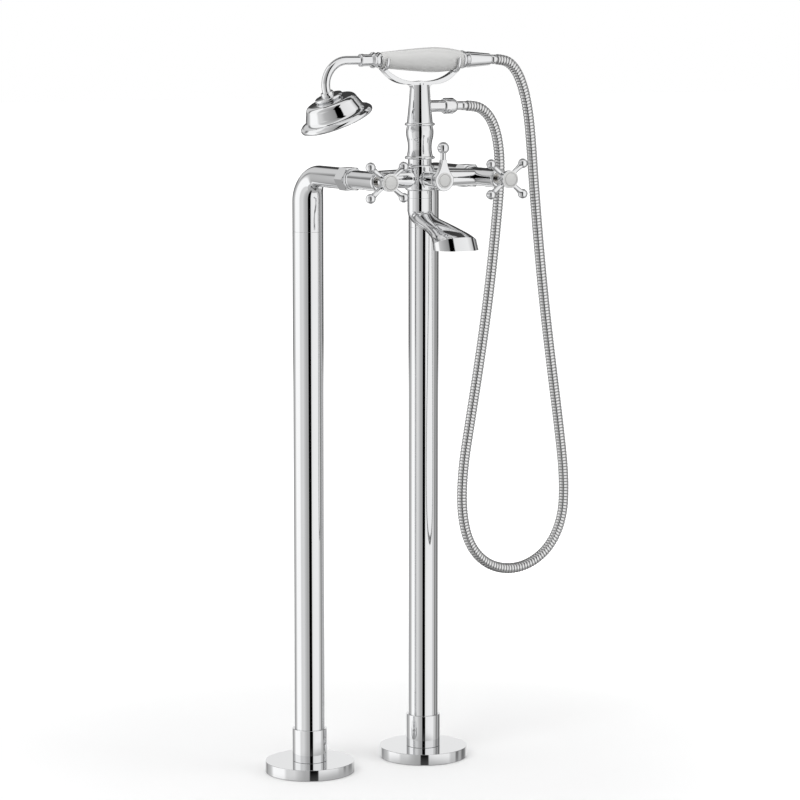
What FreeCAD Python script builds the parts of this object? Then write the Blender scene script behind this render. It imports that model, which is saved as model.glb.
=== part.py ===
import FreeCAD, Part
import math
import os
import re
import PartDesign
import Sketcher

# A floor standing bath filler: two standpipes on floor plates, a bath and shower mixer between
# their elbows, a cast spout, a diverter lever, two cross handles and a telephone style handset
# on a cradle, joined to the mixer by a ribbed metal hose.
#
# Frame: X to the right along the line of the two standpipes, Y to the back, Z up. The origin is
# on the floor, midway between the standpipes. "Forward" lengths run from the plane of the two
# standpipes towards -Y, "reach" lengths run along X, and "height" lengths run up from the floor.

Vector = FreeCAD.Vector
Rotation = FreeCAD.Rotation
Placement = FreeCAD.Placement

SIZES = [
    # overall
    ("pipe_spacing", 180.0, "between the axes of the two standpipes"),
    ("axis_height", 821.0, "valve axes above the floor"),
    ("column_forward", 146.4, "column and spout axis forward of the standpipes"),
    ("handset_rise", 32.6, "handset axis above the top of the column"),
    ("slip", 0.1, "clearance of fixed pieces that fit in each other"),
    ("running", 0.05, "radial clearance of a shaft that turns"),
    ("air", 0.3, "gap between pieces that move past each other"),
    # base
    ("plate_radius", 50.0, "floor plate"),
    ("plate_thick", 6.0, "floor plate"),
    ("boss_height", 46.0, "top of the floor plate's boss"),
    ("inlet_radius", 9.3, "threaded water inlet under the boss"),
    ("inlet_depth", 20.0, "threaded water inlet"),
    ("waterway_radius", 8.0, "bore above the inlet"),
    ("screw_spacing", 76.0, "between a floor plate's two screw holes"),
    ("screw_hole_radius", 3.3, "floor screw hole"),
    ("ring_height", 33.0, "sealing ring on the boss"),
    ("ring_section", 1.2, "radius of the sealing ring's section"),
    ("flange_radius", 61.4, "cover flange"),
    ("flange_height", 15.3, "cover flange"),
    ("flange_wall", 3.0, "cover flange"),
    ("collar_radius", 24.0, "base collar"),
    ("collar_height", 45.5, "base collar"),
    ("collar_edge", 0.7, "chamfer at the collar's ends"),
    ("grub_radius", 2.0, "grub screw of the base collar"),
    ("grub_height", 25.0, "grub screw above the cover flange"),
    # standpipe and elbow
    ("pipe_radius", 20.8, "standpipe"),
    ("pipe_wall", 1.5, "standpipe"),
    ("pipe_drop", 76.0, "joint of standpipe and elbow below the valve axes"),
    ("spigot_length", 16.0, "elbow's spigot in the standpipe"),
    ("elbow_wall", 2.6, "cast elbow"),
    ("elbow_bend", 35.0, "bend radius of the elbow's centre line"),
    ("leg_radius", 14.1, "elbow's forward leg"),
    # union
    ("nut_start_ahead", -41.4, "back of the union nut, ahead of the column axis"),
    ("nut_length", 21.8, "union nut"),
    ("nut_flats", 29.7, "union nut across flats"),
    ("nut_web", 7.4, "union nut's back wall"),
    ("tail_radius", 9.6, "elbow's tail in the nut"),
    ("tail_flange_radius", 12.4, "flange on the elbow's tail"),
    ("tail_flange", 3.0, "thickness of the tail's flange"),
    ("washer_thick", 2.0, "union washer"),
    ("thread_radius", 12.9, "mixer's inlet thread"),
    ("inlet_bore", 7.5, "bore through the union"),
    # mixer body
    ("lip_radius", 14.0, "shoulder in front of the union nut"),
    ("lip_length", 3.6, "shoulder in front of the union nut"),
    ("barrel_radius", 12.2, "valve barrel"),
    ("barrel_front_ahead", 22.6, "front of the valve barrel, ahead of the column axis"),
    ("valve_seat_ahead", -8.4, "seat of the valve discs, ahead of the column axis"),
    ("chamber_radius", 9.6, "valve chamber in the barrel"),
    ("arm_end_radius", 10.5, "mixer arm at the barrel"),
    ("arm_root_radius", 12.8, "mixer arm at the drum"),
    ("arm_bore", 5.5, "bore of the mixer arms"),
    ("drum_radius", 19.2, "mixer's centre drum"),
    ("drum_top", 18.0, "drum above the valve axis"),
    ("drum_bottom", 16.0, "drum below the valve axis"),
    ("drum_round", 3.0, "rounding of the drum's edges"),
    ("drum_bore", 8.5, "vertical bore of the drum"),
    ("socket_radius", 12.1, "threaded sockets of the drum"),
    ("socket_depth", 8.0, "threaded sockets of the drum"),
    # valves
    ("disc_radius", 8.2, "ceramic discs"),
    ("disc_thick", 3.0, "ceramic discs"),
    ("port_radius", 1.7, "ports in the ceramic discs"),
    ("port_reach", 4.4, "ports off the valve axis"),
    ("driver_thick", 3.0, "spindle's driving disc"),
    ("tongue_width", 2.6, "tongue that drives the moving disc"),
    ("tongue_depth", 1.1, "tongue that drives the moving disc"),
    ("stem_radius", 3.5, "valve spindle"),
    ("cartridge_step_ahead", 40.6, "front of the cartridge's wide part, ahead of the column axis"),
    ("neck_radius", 6.4, "cartridge neck in front of the bonnet"),
    ("neck_front_ahead", 61.0, "front of the cartridge neck, ahead of the column axis"),
    ("bonnet_radius", 12.6, "valve bonnet"),
    ("bonnet_front_ahead", 54.1, "front of the valve bonnet, ahead of the column axis"),
    ("bonnet_round", 3.2, "rounded front edge of the bonnet"),
    ("bonnet_web", 3.0, "front wall of the bonnet"),
    # cross handles
    ("hub_back_ahead", 61.5, "back of the handle hub, ahead of the column axis"),
    ("hub_front_ahead", 82.4, "front of the handle hub, ahead of the column axis"),
    ("hub_radius", 11.9, "handle hub at the front"),
    ("hub_waist", 7.2, "handle hub at the back"),
    ("arm_plane_ahead", 73.2, "plane of the handle's arms, ahead of the column axis"),
    ("ball_reach", 31.6, "handle ball centres off the axis"),
    ("ball_radius", 6.2, "handle ball"),
    ("arm_radius", 3.1, "handle arm"),
    ("arm_rise", 39.5, "degrees of the handle's arms from level"),
    ("index_radius", 10.9, "porcelain index disc"),
    ("index_recess", 2.2, "recess of the index disc"),
    ("index_dome", 2.8, "index disc in front of the hub"),
    ("handle_screw_head", 3.4, "radius of the handle screw's head"),
    ("handle_screw_radius", 1.7, "handle screw"),
    # diverter
    ("plug_radius", 7.5, "diverter plug"),
    ("plug_back_ahead", -9.4, "back of the diverter plug, ahead of the column axis"),
    ("plug_length", 19.0, "diverter plug"),
    ("plug_port", 4.5, "port through the diverter plug"),
    ("diverter_stem", 3.0, "diverter spindle"),
    ("boss_radius", 10.2, "boss on the drum for the diverter"),
    ("boss_front_ahead", 21.6, "front of that boss, ahead of the column axis"),
    ("cone_back_radius", 9.4, "diverter bonnet at the drum"),
    ("cone_front_radius", 12.2, "diverter bonnet at the lever"),
    ("cone_front_ahead", 51.6, "front of the diverter bonnet, ahead of the column axis"),
    ("cone_web", 4.0, "front wall of the diverter bonnet"),
    ("gland_radius", 5.6, "front part of the diverter gland"),
    ("lever_back_ahead", 57.3, "back of the lever's blade, ahead of the column axis"),
    ("lever_thick", 8.0, "lever's blade"),
    ("lever_radius", 14.2, "round end of the lever"),
    ("lever_neck", 4.0, "half width of the lever's neck"),
    ("lever_neck_rise", 27.0, "lever's neck above the valve axis"),
    ("lever_ball_rise", 42.2, "lever's ball above the valve axis"),
    ("lever_ball_radius", 7.8, "lever's ball"),
    ("lever_disc_radius", 10.2, "index disc of the lever"),
    ("lever_disc_dome", 1.9, "lever's index disc in front of the blade"),
    # spout
    ("spout_radius", 16.2, "spout tube"),
    ("spout_seam", 25.7, "seam of the spout below the valve axis"),
    ("spout_wall", 2.6, "cast spout"),
    ("spout_bore", 8.0, "bore of the spout tail"),
    ("spout_bend", 43.0, "start of the spout's bend below the valve axis"),
    ("mouth_drop", 88.6, "spout mouth below the valve axis"),
    # column
    ("column_neck", 15.6, "column neck and waist"),
    ("column_bulge", 18.1, "column's bulge"),
    ("column_foot", 17.4, "column above its lower ring"),
    ("bead_radius", 19.9, "the column's two rings"),
    ("bead_height", 3.8, "the column's two rings"),
    ("lower_bead_rise", 25.3, "bottom of the lower ring above the valve axes"),
    ("upper_bead_rise", 69.2, "bottom of the upper ring above the valve axes"),
    ("cone_foot", 16.9, "column cone at its foot"),
    ("cone_top", 12.6, "column cone at its top"),
    ("column_rise", 122.6, "top of the column above the valve axes"),
    ("column_bore", 8.0, "bore of the column"),
    # shower outlet
    ("outlet_rise", 94.4, "shower outlet above the valve axes"),
    ("outlet_radius", 7.9, "shower outlet"),
    ("outlet_reach", 35.2, "shoulder of the outlet from the column axis"),
    ("outlet_thread", 7.4, "outlet's thread"),
    ("outlet_thread_length", 10.6, "outlet's thread"),
    ("outlet_bore", 4.4, "bore of the outlet"),
    ("hose_nut_radius", 10.6, "lower hose nut"),
    ("hose_nut_length", 18.4, "lower hose nut"),
    ("hose_nut_web", 3.6, "lower hose nut's front wall"),
    ("hose_washer", 1.6, "hose washers"),
    ("ferrule_radius", 6.0, "ferrules on the hose ends"),
    ("lower_ferrule_end", 62.0, "hose starts here, from the column axis"),
    # cradle
    ("cradle_depth", 13.0, "cradle bar from front to back"),
    ("cradle_stem", 6.0, "cradle's threaded stem"),
    ("cradle_stem_length", 12.0, "cradle's threaded stem"),
    ("cradle_rise", 5.2, "thickness of the cradle bar in its middle"),
    ("fork_left", 50.0, "inner side of the left fork from the column axis"),
    ("fork_right", 47.0, "inner side of the right fork from the column axis"),
    ("fork_width", 9.0, "forks along the handset"),
    ("fork_wall", 3.6, "forks"),
    ("fork_lip", 3.0, "forks above the handset axis"),
    # handset
    ("grip_left", 60.4, "left end of the grip from the column axis"),
    ("grip_right", 62.0, "right end of the grip from the column axis"),
    ("grip_left_radius", 10.0, "grip at its left end"),
    ("grip_right_radius", 11.3, "grip at its right end"),
    ("grip_radius", 16.2, "grip at its fullest"),
    ("core_radius", 6.0, "tube through the grip"),
    ("core_bore", 4.2, "bore of the tube through the grip"),
    ("front_collar_radius", 10.4, "collar at the grip's left end"),
    ("sleeve_radius", 7.6, "sleeve of the front collar"),
    ("sleeve_end", 90.2, "left end of the sleeve from the column axis"),
    ("rear_collar_radius", 11.9, "collar at the grip's right end"),
    ("rear_collar_end", 72.2, "right end of the rear collar"),
    ("cone_nut_radius", 10.5, "conical hose nut at the collar"),
    ("cone_nut_end_radius", 7.7, "conical hose nut at the hose"),
    ("cone_nut_end", 106.5, "end of the conical hose nut"),
    ("upper_ferrule_end", 107.6, "end of the upper ferrule, from the column axis"),
    ("neck_tube_radius", 5.6, "handset's bent neck"),
    ("neck_tube_bore", 4.2, "handset's bent neck"),
    ("neck_reach", 109.0, "start of the neck's bend from the column axis"),
    ("neck_bend", 31.0, "bend radius of the neck's centre line"),
    ("rose_tilt", 22.5, "degrees of the rose's axis from plumb"),
    # rose
    ("rose_collar_radius", 8.4, "collar of the rose"),
    ("rose_ring_radius", 18.8, "ring on top of the rose"),
    ("rose_shoulder", 33.0, "shoulder of the rose"),
    ("rose_waist", 38.6, "rose above its flare"),
    ("rose_rim", 48.8, "rim of the rose"),
    ("rose_depth", 38.8, "rose from the neck's end to its rim"),
    ("rose_wall", 1.8, "wall of the rose"),
    ("face_thick", 2.2, "face plate of the rose"),
    ("nozzle_radius", 0.9, "water holes of the face plate"),
    # hose
    ("hose_radius", 7.0, "ribbed hose over its ribs"),
    ("hose_valley", 5.9, "ribbed hose between its ribs"),
    ("hose_bore", 4.8, "bore of the hose"),
    ("hose_cuff", 9.0, "plain length at each end of the hose"),
    ("hose_cuff_radius", 6.2, "plain ends of the hose"),
]

# Heights above the floor and distances forward of the standpipes that follow from the sizes.
FOLLOWING = [
    ("pipe_top", "axis_height - pipe_drop", "joint of standpipe and elbow"),
    ("lower_bead", "axis_height + lower_bead_rise", "bottom of the lower ring"),
    ("upper_bead", "axis_height + upper_bead_rise", "bottom of the upper ring"),
    ("outlet_height", "axis_height + outlet_rise", "shower outlet"),
    ("column_top", "axis_height + column_rise", "top of the column"),
    ("handset_height", "column_top + handset_rise", "handset axis"),
    ("nut_start", "column_forward + nut_start_ahead", "back of the union nut"),
    ("valve_seat", "column_forward + valve_seat_ahead", "seat of the valve discs"),
    ("barrel_front", "column_forward + barrel_front_ahead", "front of the valve barrel"),
    ("cartridge_step", "column_forward + cartridge_step_ahead", "front of the cartridge's wide part"),
    ("bonnet_front", "column_forward + bonnet_front_ahead", "front of the valve bonnet"),
    ("neck_front", "column_forward + neck_front_ahead", "front of the cartridge neck"),
    ("hub_back", "column_forward + hub_back_ahead", "back of the handle hub"),
    ("arm_plane", "column_forward + arm_plane_ahead", "plane of the handle's arms"),
    ("hub_front", "column_forward + hub_front_ahead", "front of the handle hub"),
    ("plug_back", "column_forward + plug_back_ahead", "back of the diverter plug"),
    ("boss_front", "column_forward + boss_front_ahead", "front of that boss"),
    ("cone_front", "column_forward + cone_front_ahead", "front of the diverter bonnet"),
    ("lever_back", "column_forward + lever_back_ahead", "back of the lever's blade"),
]

RIB_COUNT = 190
ARC_SHARE = 0.45
LARGEST_RUN = 15

FACING = {
    "up": Rotation(),
    "down": Rotation(Vector(1, 0, 0), 180),
    "forward": Rotation(Vector(1, 0, 0), 90),
    "right": Rotation(Vector(0, 1, 0), 90),
    "left": Rotation(Vector(0, 1, 0), -90),
}
CENTRE = ("0", "0", "0")
SIDES = (("left", "-pipe_spacing / 2"), ("right", "pipe_spacing / 2"))

# Places along the valve axes, forward of the standpipes.
TAIL_FLANGE_START = "(nut_start + nut_web + slip)"
WASHER_START = "(nut_start + nut_web + slip + tail_flange)"
INLET_FACE = "(nut_start + nut_web + slip + tail_flange + washer_thick)"
NUT_END = "(nut_start + nut_length)"
LIP_START = "(nut_start + nut_length + slip)"
LIP_END = "(nut_start + nut_length + slip + lip_length)"
FIXED_DISC = "(valve_seat + slip)"
MOVING_DISC = "(valve_seat + slip + disc_thick + running)"
DRIVER = "(valve_seat + slip + 2 * disc_thick + 2 * running)"
CAGE_END = "(valve_seat + slip + 2 * disc_thick + 3 * running + driver_thick)"
STEM_END = "(hub_front - index_recess - 6.0)"
RECESS_FLOOR = "(hub_front - index_recess)"
HEAD_SEAT = "(hub_front - index_recess - 3.0)"
# Places along the diverter's axis.
PLUG_FRONT = "(plug_back + plug_length)"
LEVER_FRONT = "(lever_back + lever_thick)"
LEVER_FLOOR = "(lever_back + lever_thick - 1.5)"
LEVER_SEAT = "(lever_back + lever_thick - 4.1)"
LEVER_STEM_END = "(lever_back + lever_thick - 5.7)"
# Heights above the floor.
DRUM_TOP = "(axis_height + drum_top)"
DRUM_FLOOR = "(axis_height - drum_bottom)"
# Places along the shower outlet and the handset, from the column's axis.
OUTLET_END = "(outlet_reach + outlet_thread_length)"
LOWER_NUT_START = "(outlet_reach + slip)"
LOWER_NUT_END = "(outlet_reach + slip + hose_nut_length)"
LOWER_WEB = "(outlet_reach + slip + hose_nut_length - hose_nut_web)"
BARB = 12.0

doc = FreeCAD.newDocument("bath_filler")
sheet = doc.addObject("Spreadsheet::Sheet", "Sizes")
for row, (alias, millimetres, note) in enumerate(SIZES, start=1):
    sheet.set("A%d" % row, note)
    sheet.set("B%d" % row, str(millimetres))
    sheet.setAlias("B%d" % row, alias)
for row, (alias, formula, note) in enumerate(FOLLOWING, start=len(SIZES) + 1):
    sheet.set("A%d" % row, note)
    sheet.set("B%d" % row, "=" + formula)
    sheet.setAlias("B%d" % row, alias)
probe = doc.addObject("Spreadsheet::Sheet", "Probe")
doc.recompute()
ALIASES = {alias for alias, value, note in SIZES + FOLLOWING}
parts = []


def bound(formula):
    """The formula with the sheet's name before each of its sizes."""
    def with_sheet(match):
        word = match.group(0)
        return "Sizes." + word if word in ALIASES else word
    return re.sub(r"[a-z][a-z_0-9]*", with_sheet, formula)


def size(formula):
    """The number that a formula of sizes gives."""
    probe.set("A1", "=" + bound(formula))
    probe.recompute()
    return float(probe.get("A1"))


def bind(thing, prop, formula):
    """Tie a property to the sheet, where its formula holds a size."""
    if bound(formula) != formula:
        thing.setExpression(prop, bound(formula))


def place(thing, at, rotation):
    thing.Placement = Placement(Vector(*[size(formula) for formula in at]), rotation)
    for axis, formula in zip("xyz", at):
        bind(thing, "Placement.Base." + axis, formula)


def new_body(label, at=CENTRE, facing="up"):
    body = doc.addObject("PartDesign::Body", label)
    body.Label = label
    place(body, at, FACING[facing] if isinstance(facing, str) else facing)
    parts.append(body)
    return body


def new_sketch(body, name, plane, at, turn):
    sketch = body.newObject("Sketcher::SketchObject", name)
    for feature in body.Origin.OriginFeatures:
        if feature.Role == plane + "_Plane":
            sketch.AttachmentSupport = [(feature, "")]
    sketch.MapMode = "FlatFace"
    offset = Vector(*[size(formula) for formula in at])
    sketch.AttachmentOffset = Placement(offset, Rotation(Vector(0, 0, 1), size(turn)))
    for axis, formula in zip("xyz", at):
        bind(sketch, "AttachmentOffset.Base." + axis, formula)
    bind(sketch, "AttachmentOffset.Rotation.Angle", turn)
    return sketch


def pin_point(sketch, constraints, formulas, geometry, end, x, y):
    """Hold a point of the sketch at x, y from the sketch's origin."""
    for kind, formula, axis in (("DistanceX", x, -2), ("DistanceY", y, -1)):
        if formula == "0":
            constraints.append(Sketcher.Constraint("PointOnObject", geometry, end, axis))
        else:
            constraints.append(Sketcher.Constraint(kind, geometry, end, size(formula)))
            formulas[len(constraints) - 1] = formula


def draw(sketch, points):
    """Close an outline through (x, y) corners. (x, y, "arc") is a point on the arc that joins
    the corner before it to the corner after it."""
    corners = [point for point in points if len(point) == 2]
    middles = {}
    count = 0
    for point in points:
        if len(point) == 3:
            middles[count - 1] = point[:2]
        else:
            count += 1
    spots = [Vector(size(x), size(y), 0) for x, y in corners]
    constraints = []
    formulas = {}
    starts = []
    ends = []
    for index, start in enumerate(spots):
        end = spots[(index + 1) % len(spots)]
        if index in middles:
            x, y = middles[index]
            middle = Vector(size(x), size(y), 0)
            edge = sketch.addGeometry(Part.Arc(start, middle, end), False)
            kept = (sketch.getPoint(edge, 1) - start).Length < (sketch.getPoint(edge, 2) - start).Length
            point = sketch.addGeometry(Part.Point(middle), True)
            pin_point(sketch, constraints, formulas, point, 1, x, y)
            constraints.append(Sketcher.Constraint("PointOnObject", point, 1, edge))
        else:
            edge = sketch.addGeometry(Part.LineSegment(start, end), False)
            kept = True
        starts.append((edge, 1 if kept else 2))
        ends.append((edge, 2 if kept else 1))
    for index, (x, y) in enumerate(corners):
        edge, end = starts[index]
        pin_point(sketch, constraints, formulas, edge, end, x, y)
        last_edge, last_end = ends[index - 1]
        constraints.append(Sketcher.Constraint("Coincident", last_edge, last_end, edge, end))
    sketch.addConstraint(constraints)
    for index, formula in formulas.items():
        bind(sketch, "Constraints[%d]" % index, formula)


def spin(body, name, points, plane="XZ", axis="V_Axis", at=CENTRE, turn="0", angle="360", cut=False):
    """Turn an outline about its sketch's axis, to add it to the body or cut it away."""
    sketch = new_sketch(body, name + "_outline", plane, at, turn)
    draw(sketch, points)
    kind = "PartDesign::Groove" if cut else "PartDesign::Revolution"
    feature = body.newObject(kind, name)
    feature.Profile = sketch
    feature.ReferenceAxis = (sketch, [axis])
    feature.Angle = size(angle)
    bind(feature, "Angle", angle)
    return feature


def extrude(body, name, points, length, plane="XY", at=CENTRE, turn="0", middle=False, cut=False):
    """Lengthen an outline square to its sketch. A cut runs the same way as an added piece."""
    sketch = new_sketch(body, name + "_outline", plane, at, turn)
    draw(sketch, points)
    feature = body.newObject("PartDesign::Pocket" if cut else "PartDesign::Pad", name)
    feature.Profile = sketch
    feature.Length = size(length)
    bind(feature, "Length", length)
    feature.Midplane = middle
    feature.Reversed = cut
    return feature


def tube(low, high, inner, outer):
    """The outline of a ring, from low to high along its axis."""
    return [(inner, low), (outer, low), (outer, high), (inner, high)]


def dome(floor, radius, edge, rise):
    """The outline of a disc with a spherical front: its rim's edge, and how far its middle rises
    in front of that edge."""
    ball = "((%s * %s + %s * %s) / (2 * %s))" % (radius, radius, rise, rise, rise)
    mid_rise = "(%s - %s + sqrt(%s * %s - 0.36 * %s * %s))" % (rise, ball, ball, ball, radius, radius)
    return [
        ("0", floor), (radius, floor), (radius, edge), (radius + " * 0.6", edge + " + " + mid_rise, "arc"),
        ("0", edge + " + " + rise)]


def cross_hole(reach_from, reach_to, radius):
    """The outline of a hole across the axis, turned about the sketch's level axis."""
    return [(reach_from, "0"), (reach_from, radius), (reach_to, radius), (reach_to, "0")]


def round_edges(body, name, feature, radius, keep):
    """Fillet those of a feature's edges for which keep is true."""
    doc.recompute()
    chosen = ["Edge%d" % (i + 1) for i, edge in enumerate(feature.Shape.Edges) if keep(edge)]
    fillet = body.newObject("PartDesign::Fillet", name)
    fillet.Base = (feature, chosen)
    fillet.Radius = size(radius)
    bind(fillet, "Radius", radius)
    return fillet


def primitive(kind, name, at=CENTRE, rotation=None, **lengths):
    thing = doc.addObject(kind, name)
    for prop, formula in lengths.items():
        setattr(thing, prop, size(formula))
        bind(thing, prop, formula)
    place(thing, at, rotation or Rotation())
    return thing


def boolean(kind, name, base, tool):
    thing = doc.addObject(kind, name)
    thing.Base = base
    thing.Tool = tool
    return thing


def fused(name, shapes):
    thing = doc.addObject("Part::MultiFuse", name)
    thing.Shapes = shapes
    return thing


def group(label, things):
    """Like pieces that share one node."""
    thing = doc.addObject("Part::Compound", label)
    thing.Label = label
    thing.Links = things
    parts.append(thing)
    return thing


# ---------------------------------------------------------------- base

BOSS_RADIUS = "(pipe_radius - pipe_wall - slip)"
GROOVE_FLOOR = "(pipe_radius - pipe_wall - slip - 2 * ring_section)"


def floor_plate(side, x):
    """Turned brass plate that is screwed to the floor. The standpipe slips over its boss."""
    body = new_body(side + "_floor_plate", (x, "0", "0"))
    spin(body, "plate", [
        ("inlet_radius", "0"), ("plate_radius", "0"), ("plate_radius", "plate_thick"),
        (BOSS_RADIUS, "plate_thick"), (BOSS_RADIUS, "ring_height - ring_section"),
        (GROOVE_FLOOR, "ring_height - ring_section"), (GROOVE_FLOOR, "ring_height + ring_section"),
        (BOSS_RADIUS, "ring_height + ring_section"), (BOSS_RADIUS, "boss_height"),
        ("waterway_radius", "boss_height"), ("waterway_radius", "inlet_depth"),
        ("inlet_radius", "inlet_depth")])
    for name, offset in (("back", "screw_spacing / 2"), ("front", "-screw_spacing / 2")):
        spin(body, name + "_screw_hole", [
            ("0", "-1"), ("screw_hole_radius", "-1"), ("screw_hole_radius", "plate_thick + 1"),
            ("0", "plate_thick + 1")], at=("0", "0", offset), cut=True)


def pipe_seals():
    """A rubber ring round each boss, inside the foot of the standpipe."""
    rings = []
    for side, x in SIDES:
        ring = primitive("Part::Torus", side + "_ring", (x, "0", "ring_height"),
                         Radius1="pipe_radius - pipe_wall - slip - ring_section",
                         Radius2="ring_section - slip / 2")
        rings.append(ring)
    group("pipe_sealing_rings", rings)


def cover_flange(side, x):
    """Thick round cover that hides the floor plate and its screws."""
    body = new_body(side + "_cover_flange", (x, "0", "0"))
    spin(body, "cover", [
        ("flange_radius - flange_wall", "0"), ("flange_radius", "0"),
        ("flange_radius", "flange_height"), ("pipe_radius + air", "flange_height"),
        ("pipe_radius + air", "flange_height - flange_wall"),
        ("flange_radius - flange_wall", "flange_height - flange_wall")])


GRUB_TURN = {"left": -59.0, "right": -151.0}
GRUB_HEIGHT = "(flange_height + grub_height)"


def base_collar(side, x):
    """Sleeve over the foot of the standpipe, held by a grub screw."""
    turn = Rotation(Vector(0, 0, 1), GRUB_TURN[side])
    body = new_body(side + "_base_collar", (x, "0", "flange_height"), turn)
    inner = "pipe_radius + slip"
    spin(body, "sleeve", [
        (inner, "0"), ("collar_radius - collar_edge", "0"), ("collar_radius", "collar_edge"),
        ("collar_radius", "collar_height - collar_edge"),
        ("collar_radius - collar_edge", "collar_height"), (inner, "collar_height")])
    spin(body, "grub_hole", cross_hole("pipe_radius - 1", "collar_radius + 1", "grub_radius + running"),
         axis="H_Axis", at=("0", "grub_height", "0"), cut=True)


def grub_screws():
    screws = []
    for side, x in SIDES:
        angle = math.radians(GRUB_TURN[side])
        start = "(pipe_radius + running)"
        at = ("%s + %s * %.6f" % (x, start, math.cos(angle)), "%s * %.6f" % (start, math.sin(angle)),
              GRUB_HEIGHT)
        along = Rotation(Vector(0, 0, 1), Vector(math.cos(angle), math.sin(angle), 0))
        screws.append(primitive("Part::Cylinder", side + "_grub", at, along, Radius="grub_radius",
                                Height="collar_radius - pipe_radius - 0.5"))
    group("collar_grub_screws", screws)


def standpipe(side, x):
    body = new_body(side + "_standpipe", (x, "0", "0"))
    spin(body, "pipe", tube("plate_thick", "pipe_top", "pipe_radius - pipe_wall", "pipe_radius"))


# ---------------------------------------------------------------- elbow and union

BEND_STEPS = 6


def bend(name, x, start_radius, end_radius):
    """The elbow's bend, lofted through rings that shrink from the pipe's size to the leg's."""
    rings = []
    for step in range(BEND_STEPS + 1):
        share = step / BEND_STEPS
        angle = 90.0 * share
        eased = share * share * (3 - 2 * share)
        forward = 1 - math.cos(math.radians(angle))
        drop = 1 - math.sin(math.radians(angle))
        radius = "%s + (%s - (%s)) * %.6f" % (start_radius, end_radius, start_radius, eased)
        at = (x, "-elbow_bend * %.6f" % forward if step else "0", "axis_height - elbow_bend * %.6f" % drop)
        ring = primitive("Part::Circle", "%s_%d" % (name, step), at, Rotation(Vector(1, 0, 0), angle),
                         Radius=radius)
        rings.append(ring)
    loft = doc.addObject("Part::Loft", name)
    loft.Sections = rings
    loft.Solid = True
    loft.Ruled = False
    return loft


def rod(name, at, rotation, radius, length):
    return primitive("Part::Cylinder", name, at, rotation, Radius=radius, Height=length)


def elbow(side, x):
    """Cast elbow: a spigot in the standpipe, a shrinking bend, a forward leg and a flanged tail."""
    up = FACING["up"]
    forward = FACING["forward"]
    bend_height = "(axis_height - elbow_bend)"

    def ahead(distance):
        return (x, "-(%s)" % distance, "axis_height")

    outside = fused(side + "_elbow_outside", [
        rod(side + "_spigot", (x, "0", "pipe_top - spigot_length"), up,
            "pipe_radius - pipe_wall - slip", "spigot_length + 1"),
        rod(side + "_riser", (x, "0", "pipe_top"), up, "pipe_radius", bend_height + " - pipe_top"),
        bend(side + "_bend", x, "pipe_radius", "leg_radius"),
        rod(side + "_leg", ahead("elbow_bend"), forward, "leg_radius", "nut_start - elbow_bend"),
        rod(side + "_tail", ahead("nut_start - 1"), forward, "tail_radius", "nut_web + slip + 2"),
        rod(side + "_tail_flange", ahead(TAIL_FLANGE_START), forward, "tail_flange_radius",
            "tail_flange")])
    inside = fused(side + "_elbow_inside", [
        rod(side + "_riser_bore", (x, "0", "pipe_top - spigot_length - 1"), up,
            "pipe_radius - pipe_wall - elbow_wall", bend_height + " - pipe_top + spigot_length + 1"),
        bend(side + "_bend_bore", x, "pipe_radius - pipe_wall - elbow_wall", "leg_radius - elbow_wall"),
        rod(side + "_leg_bore", ahead("elbow_bend"), forward, "leg_radius - elbow_wall",
            "nut_start - elbow_bend - 4"),
        rod(side + "_tail_bore", ahead("nut_start - 6"), forward, "inlet_bore",
            WASHER_START + " - nut_start + 7")])
    thing = boolean("Part::Cut", side + "_elbow", outside, inside)
    thing.Label = side + "_elbow"
    parts.append(thing)


def union_nut(side, x):
    """Hexagon nut, with corners to the sides, that pulls the elbow's tail against the mixer."""
    body = new_body(side + "_union_nut", (x, "0", "axis_height"), "forward")
    corners = []
    for step in range(6):
        angle = math.radians(60.0 * step)
        across = "nut_flats / sqrt(3) * %.6f" % math.cos(angle)
        up = "nut_flats / sqrt(3) * %.6f" % math.sin(angle) if step % 3 else "0"
        corners.append((across, up))
    extrude(body, "hexagon", corners, "nut_length", at=("0", "0", "nut_start"))
    corner = "(nut_flats / sqrt(3))"
    flat = "(nut_flats / 2)"
    spin(body, "back_chamfer", [
        (flat, "nut_start - 1"), (corner + " + 1", "nut_start - 1"), (corner + " + 1", "nut_start + 2"),
        (flat, "nut_start")], cut=True)
    spin(body, "front_chamfer", [
        (flat, NUT_END), (corner + " + 1", NUT_END + " - 2"), (corner + " + 1", NUT_END + " + 1"),
        (flat, NUT_END + " + 1")], cut=True)
    spin(body, "web_hole", [
        ("0", "nut_start - 1"), ("tail_radius + slip", "nut_start - 1"),
        ("tail_radius + slip", "nut_start + nut_web + 1"), ("0", "nut_start + nut_web + 1")], cut=True)
    spin(body, "thread", [
        ("0", "nut_start + nut_web"), ("thread_radius + slip", "nut_start + nut_web"),
        ("thread_radius + slip", NUT_END + " + 1"), ("0", NUT_END + " + 1")], cut=True)


def union_washers():
    """A fibre washer in each union, between the elbow's tail and the mixer's inlet."""
    washers = []
    for side, x in SIDES:
        at = (x, "-" + WASHER_START, "axis_height")
        disc = rod(side + "_washer_disc", at, FACING["forward"], "tail_flange_radius", "washer_thick")
        hole = rod(side + "_washer_hole", at, FACING["forward"], "inlet_bore", "washer_thick")
        washers.append(boolean("Part::Cut", side + "_washer", disc, hole))
    group("union_washers", washers)


# ---------------------------------------------------------------- mixer body

DIVERTER_CHAMBER = "(plug_radius + running)"


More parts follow.
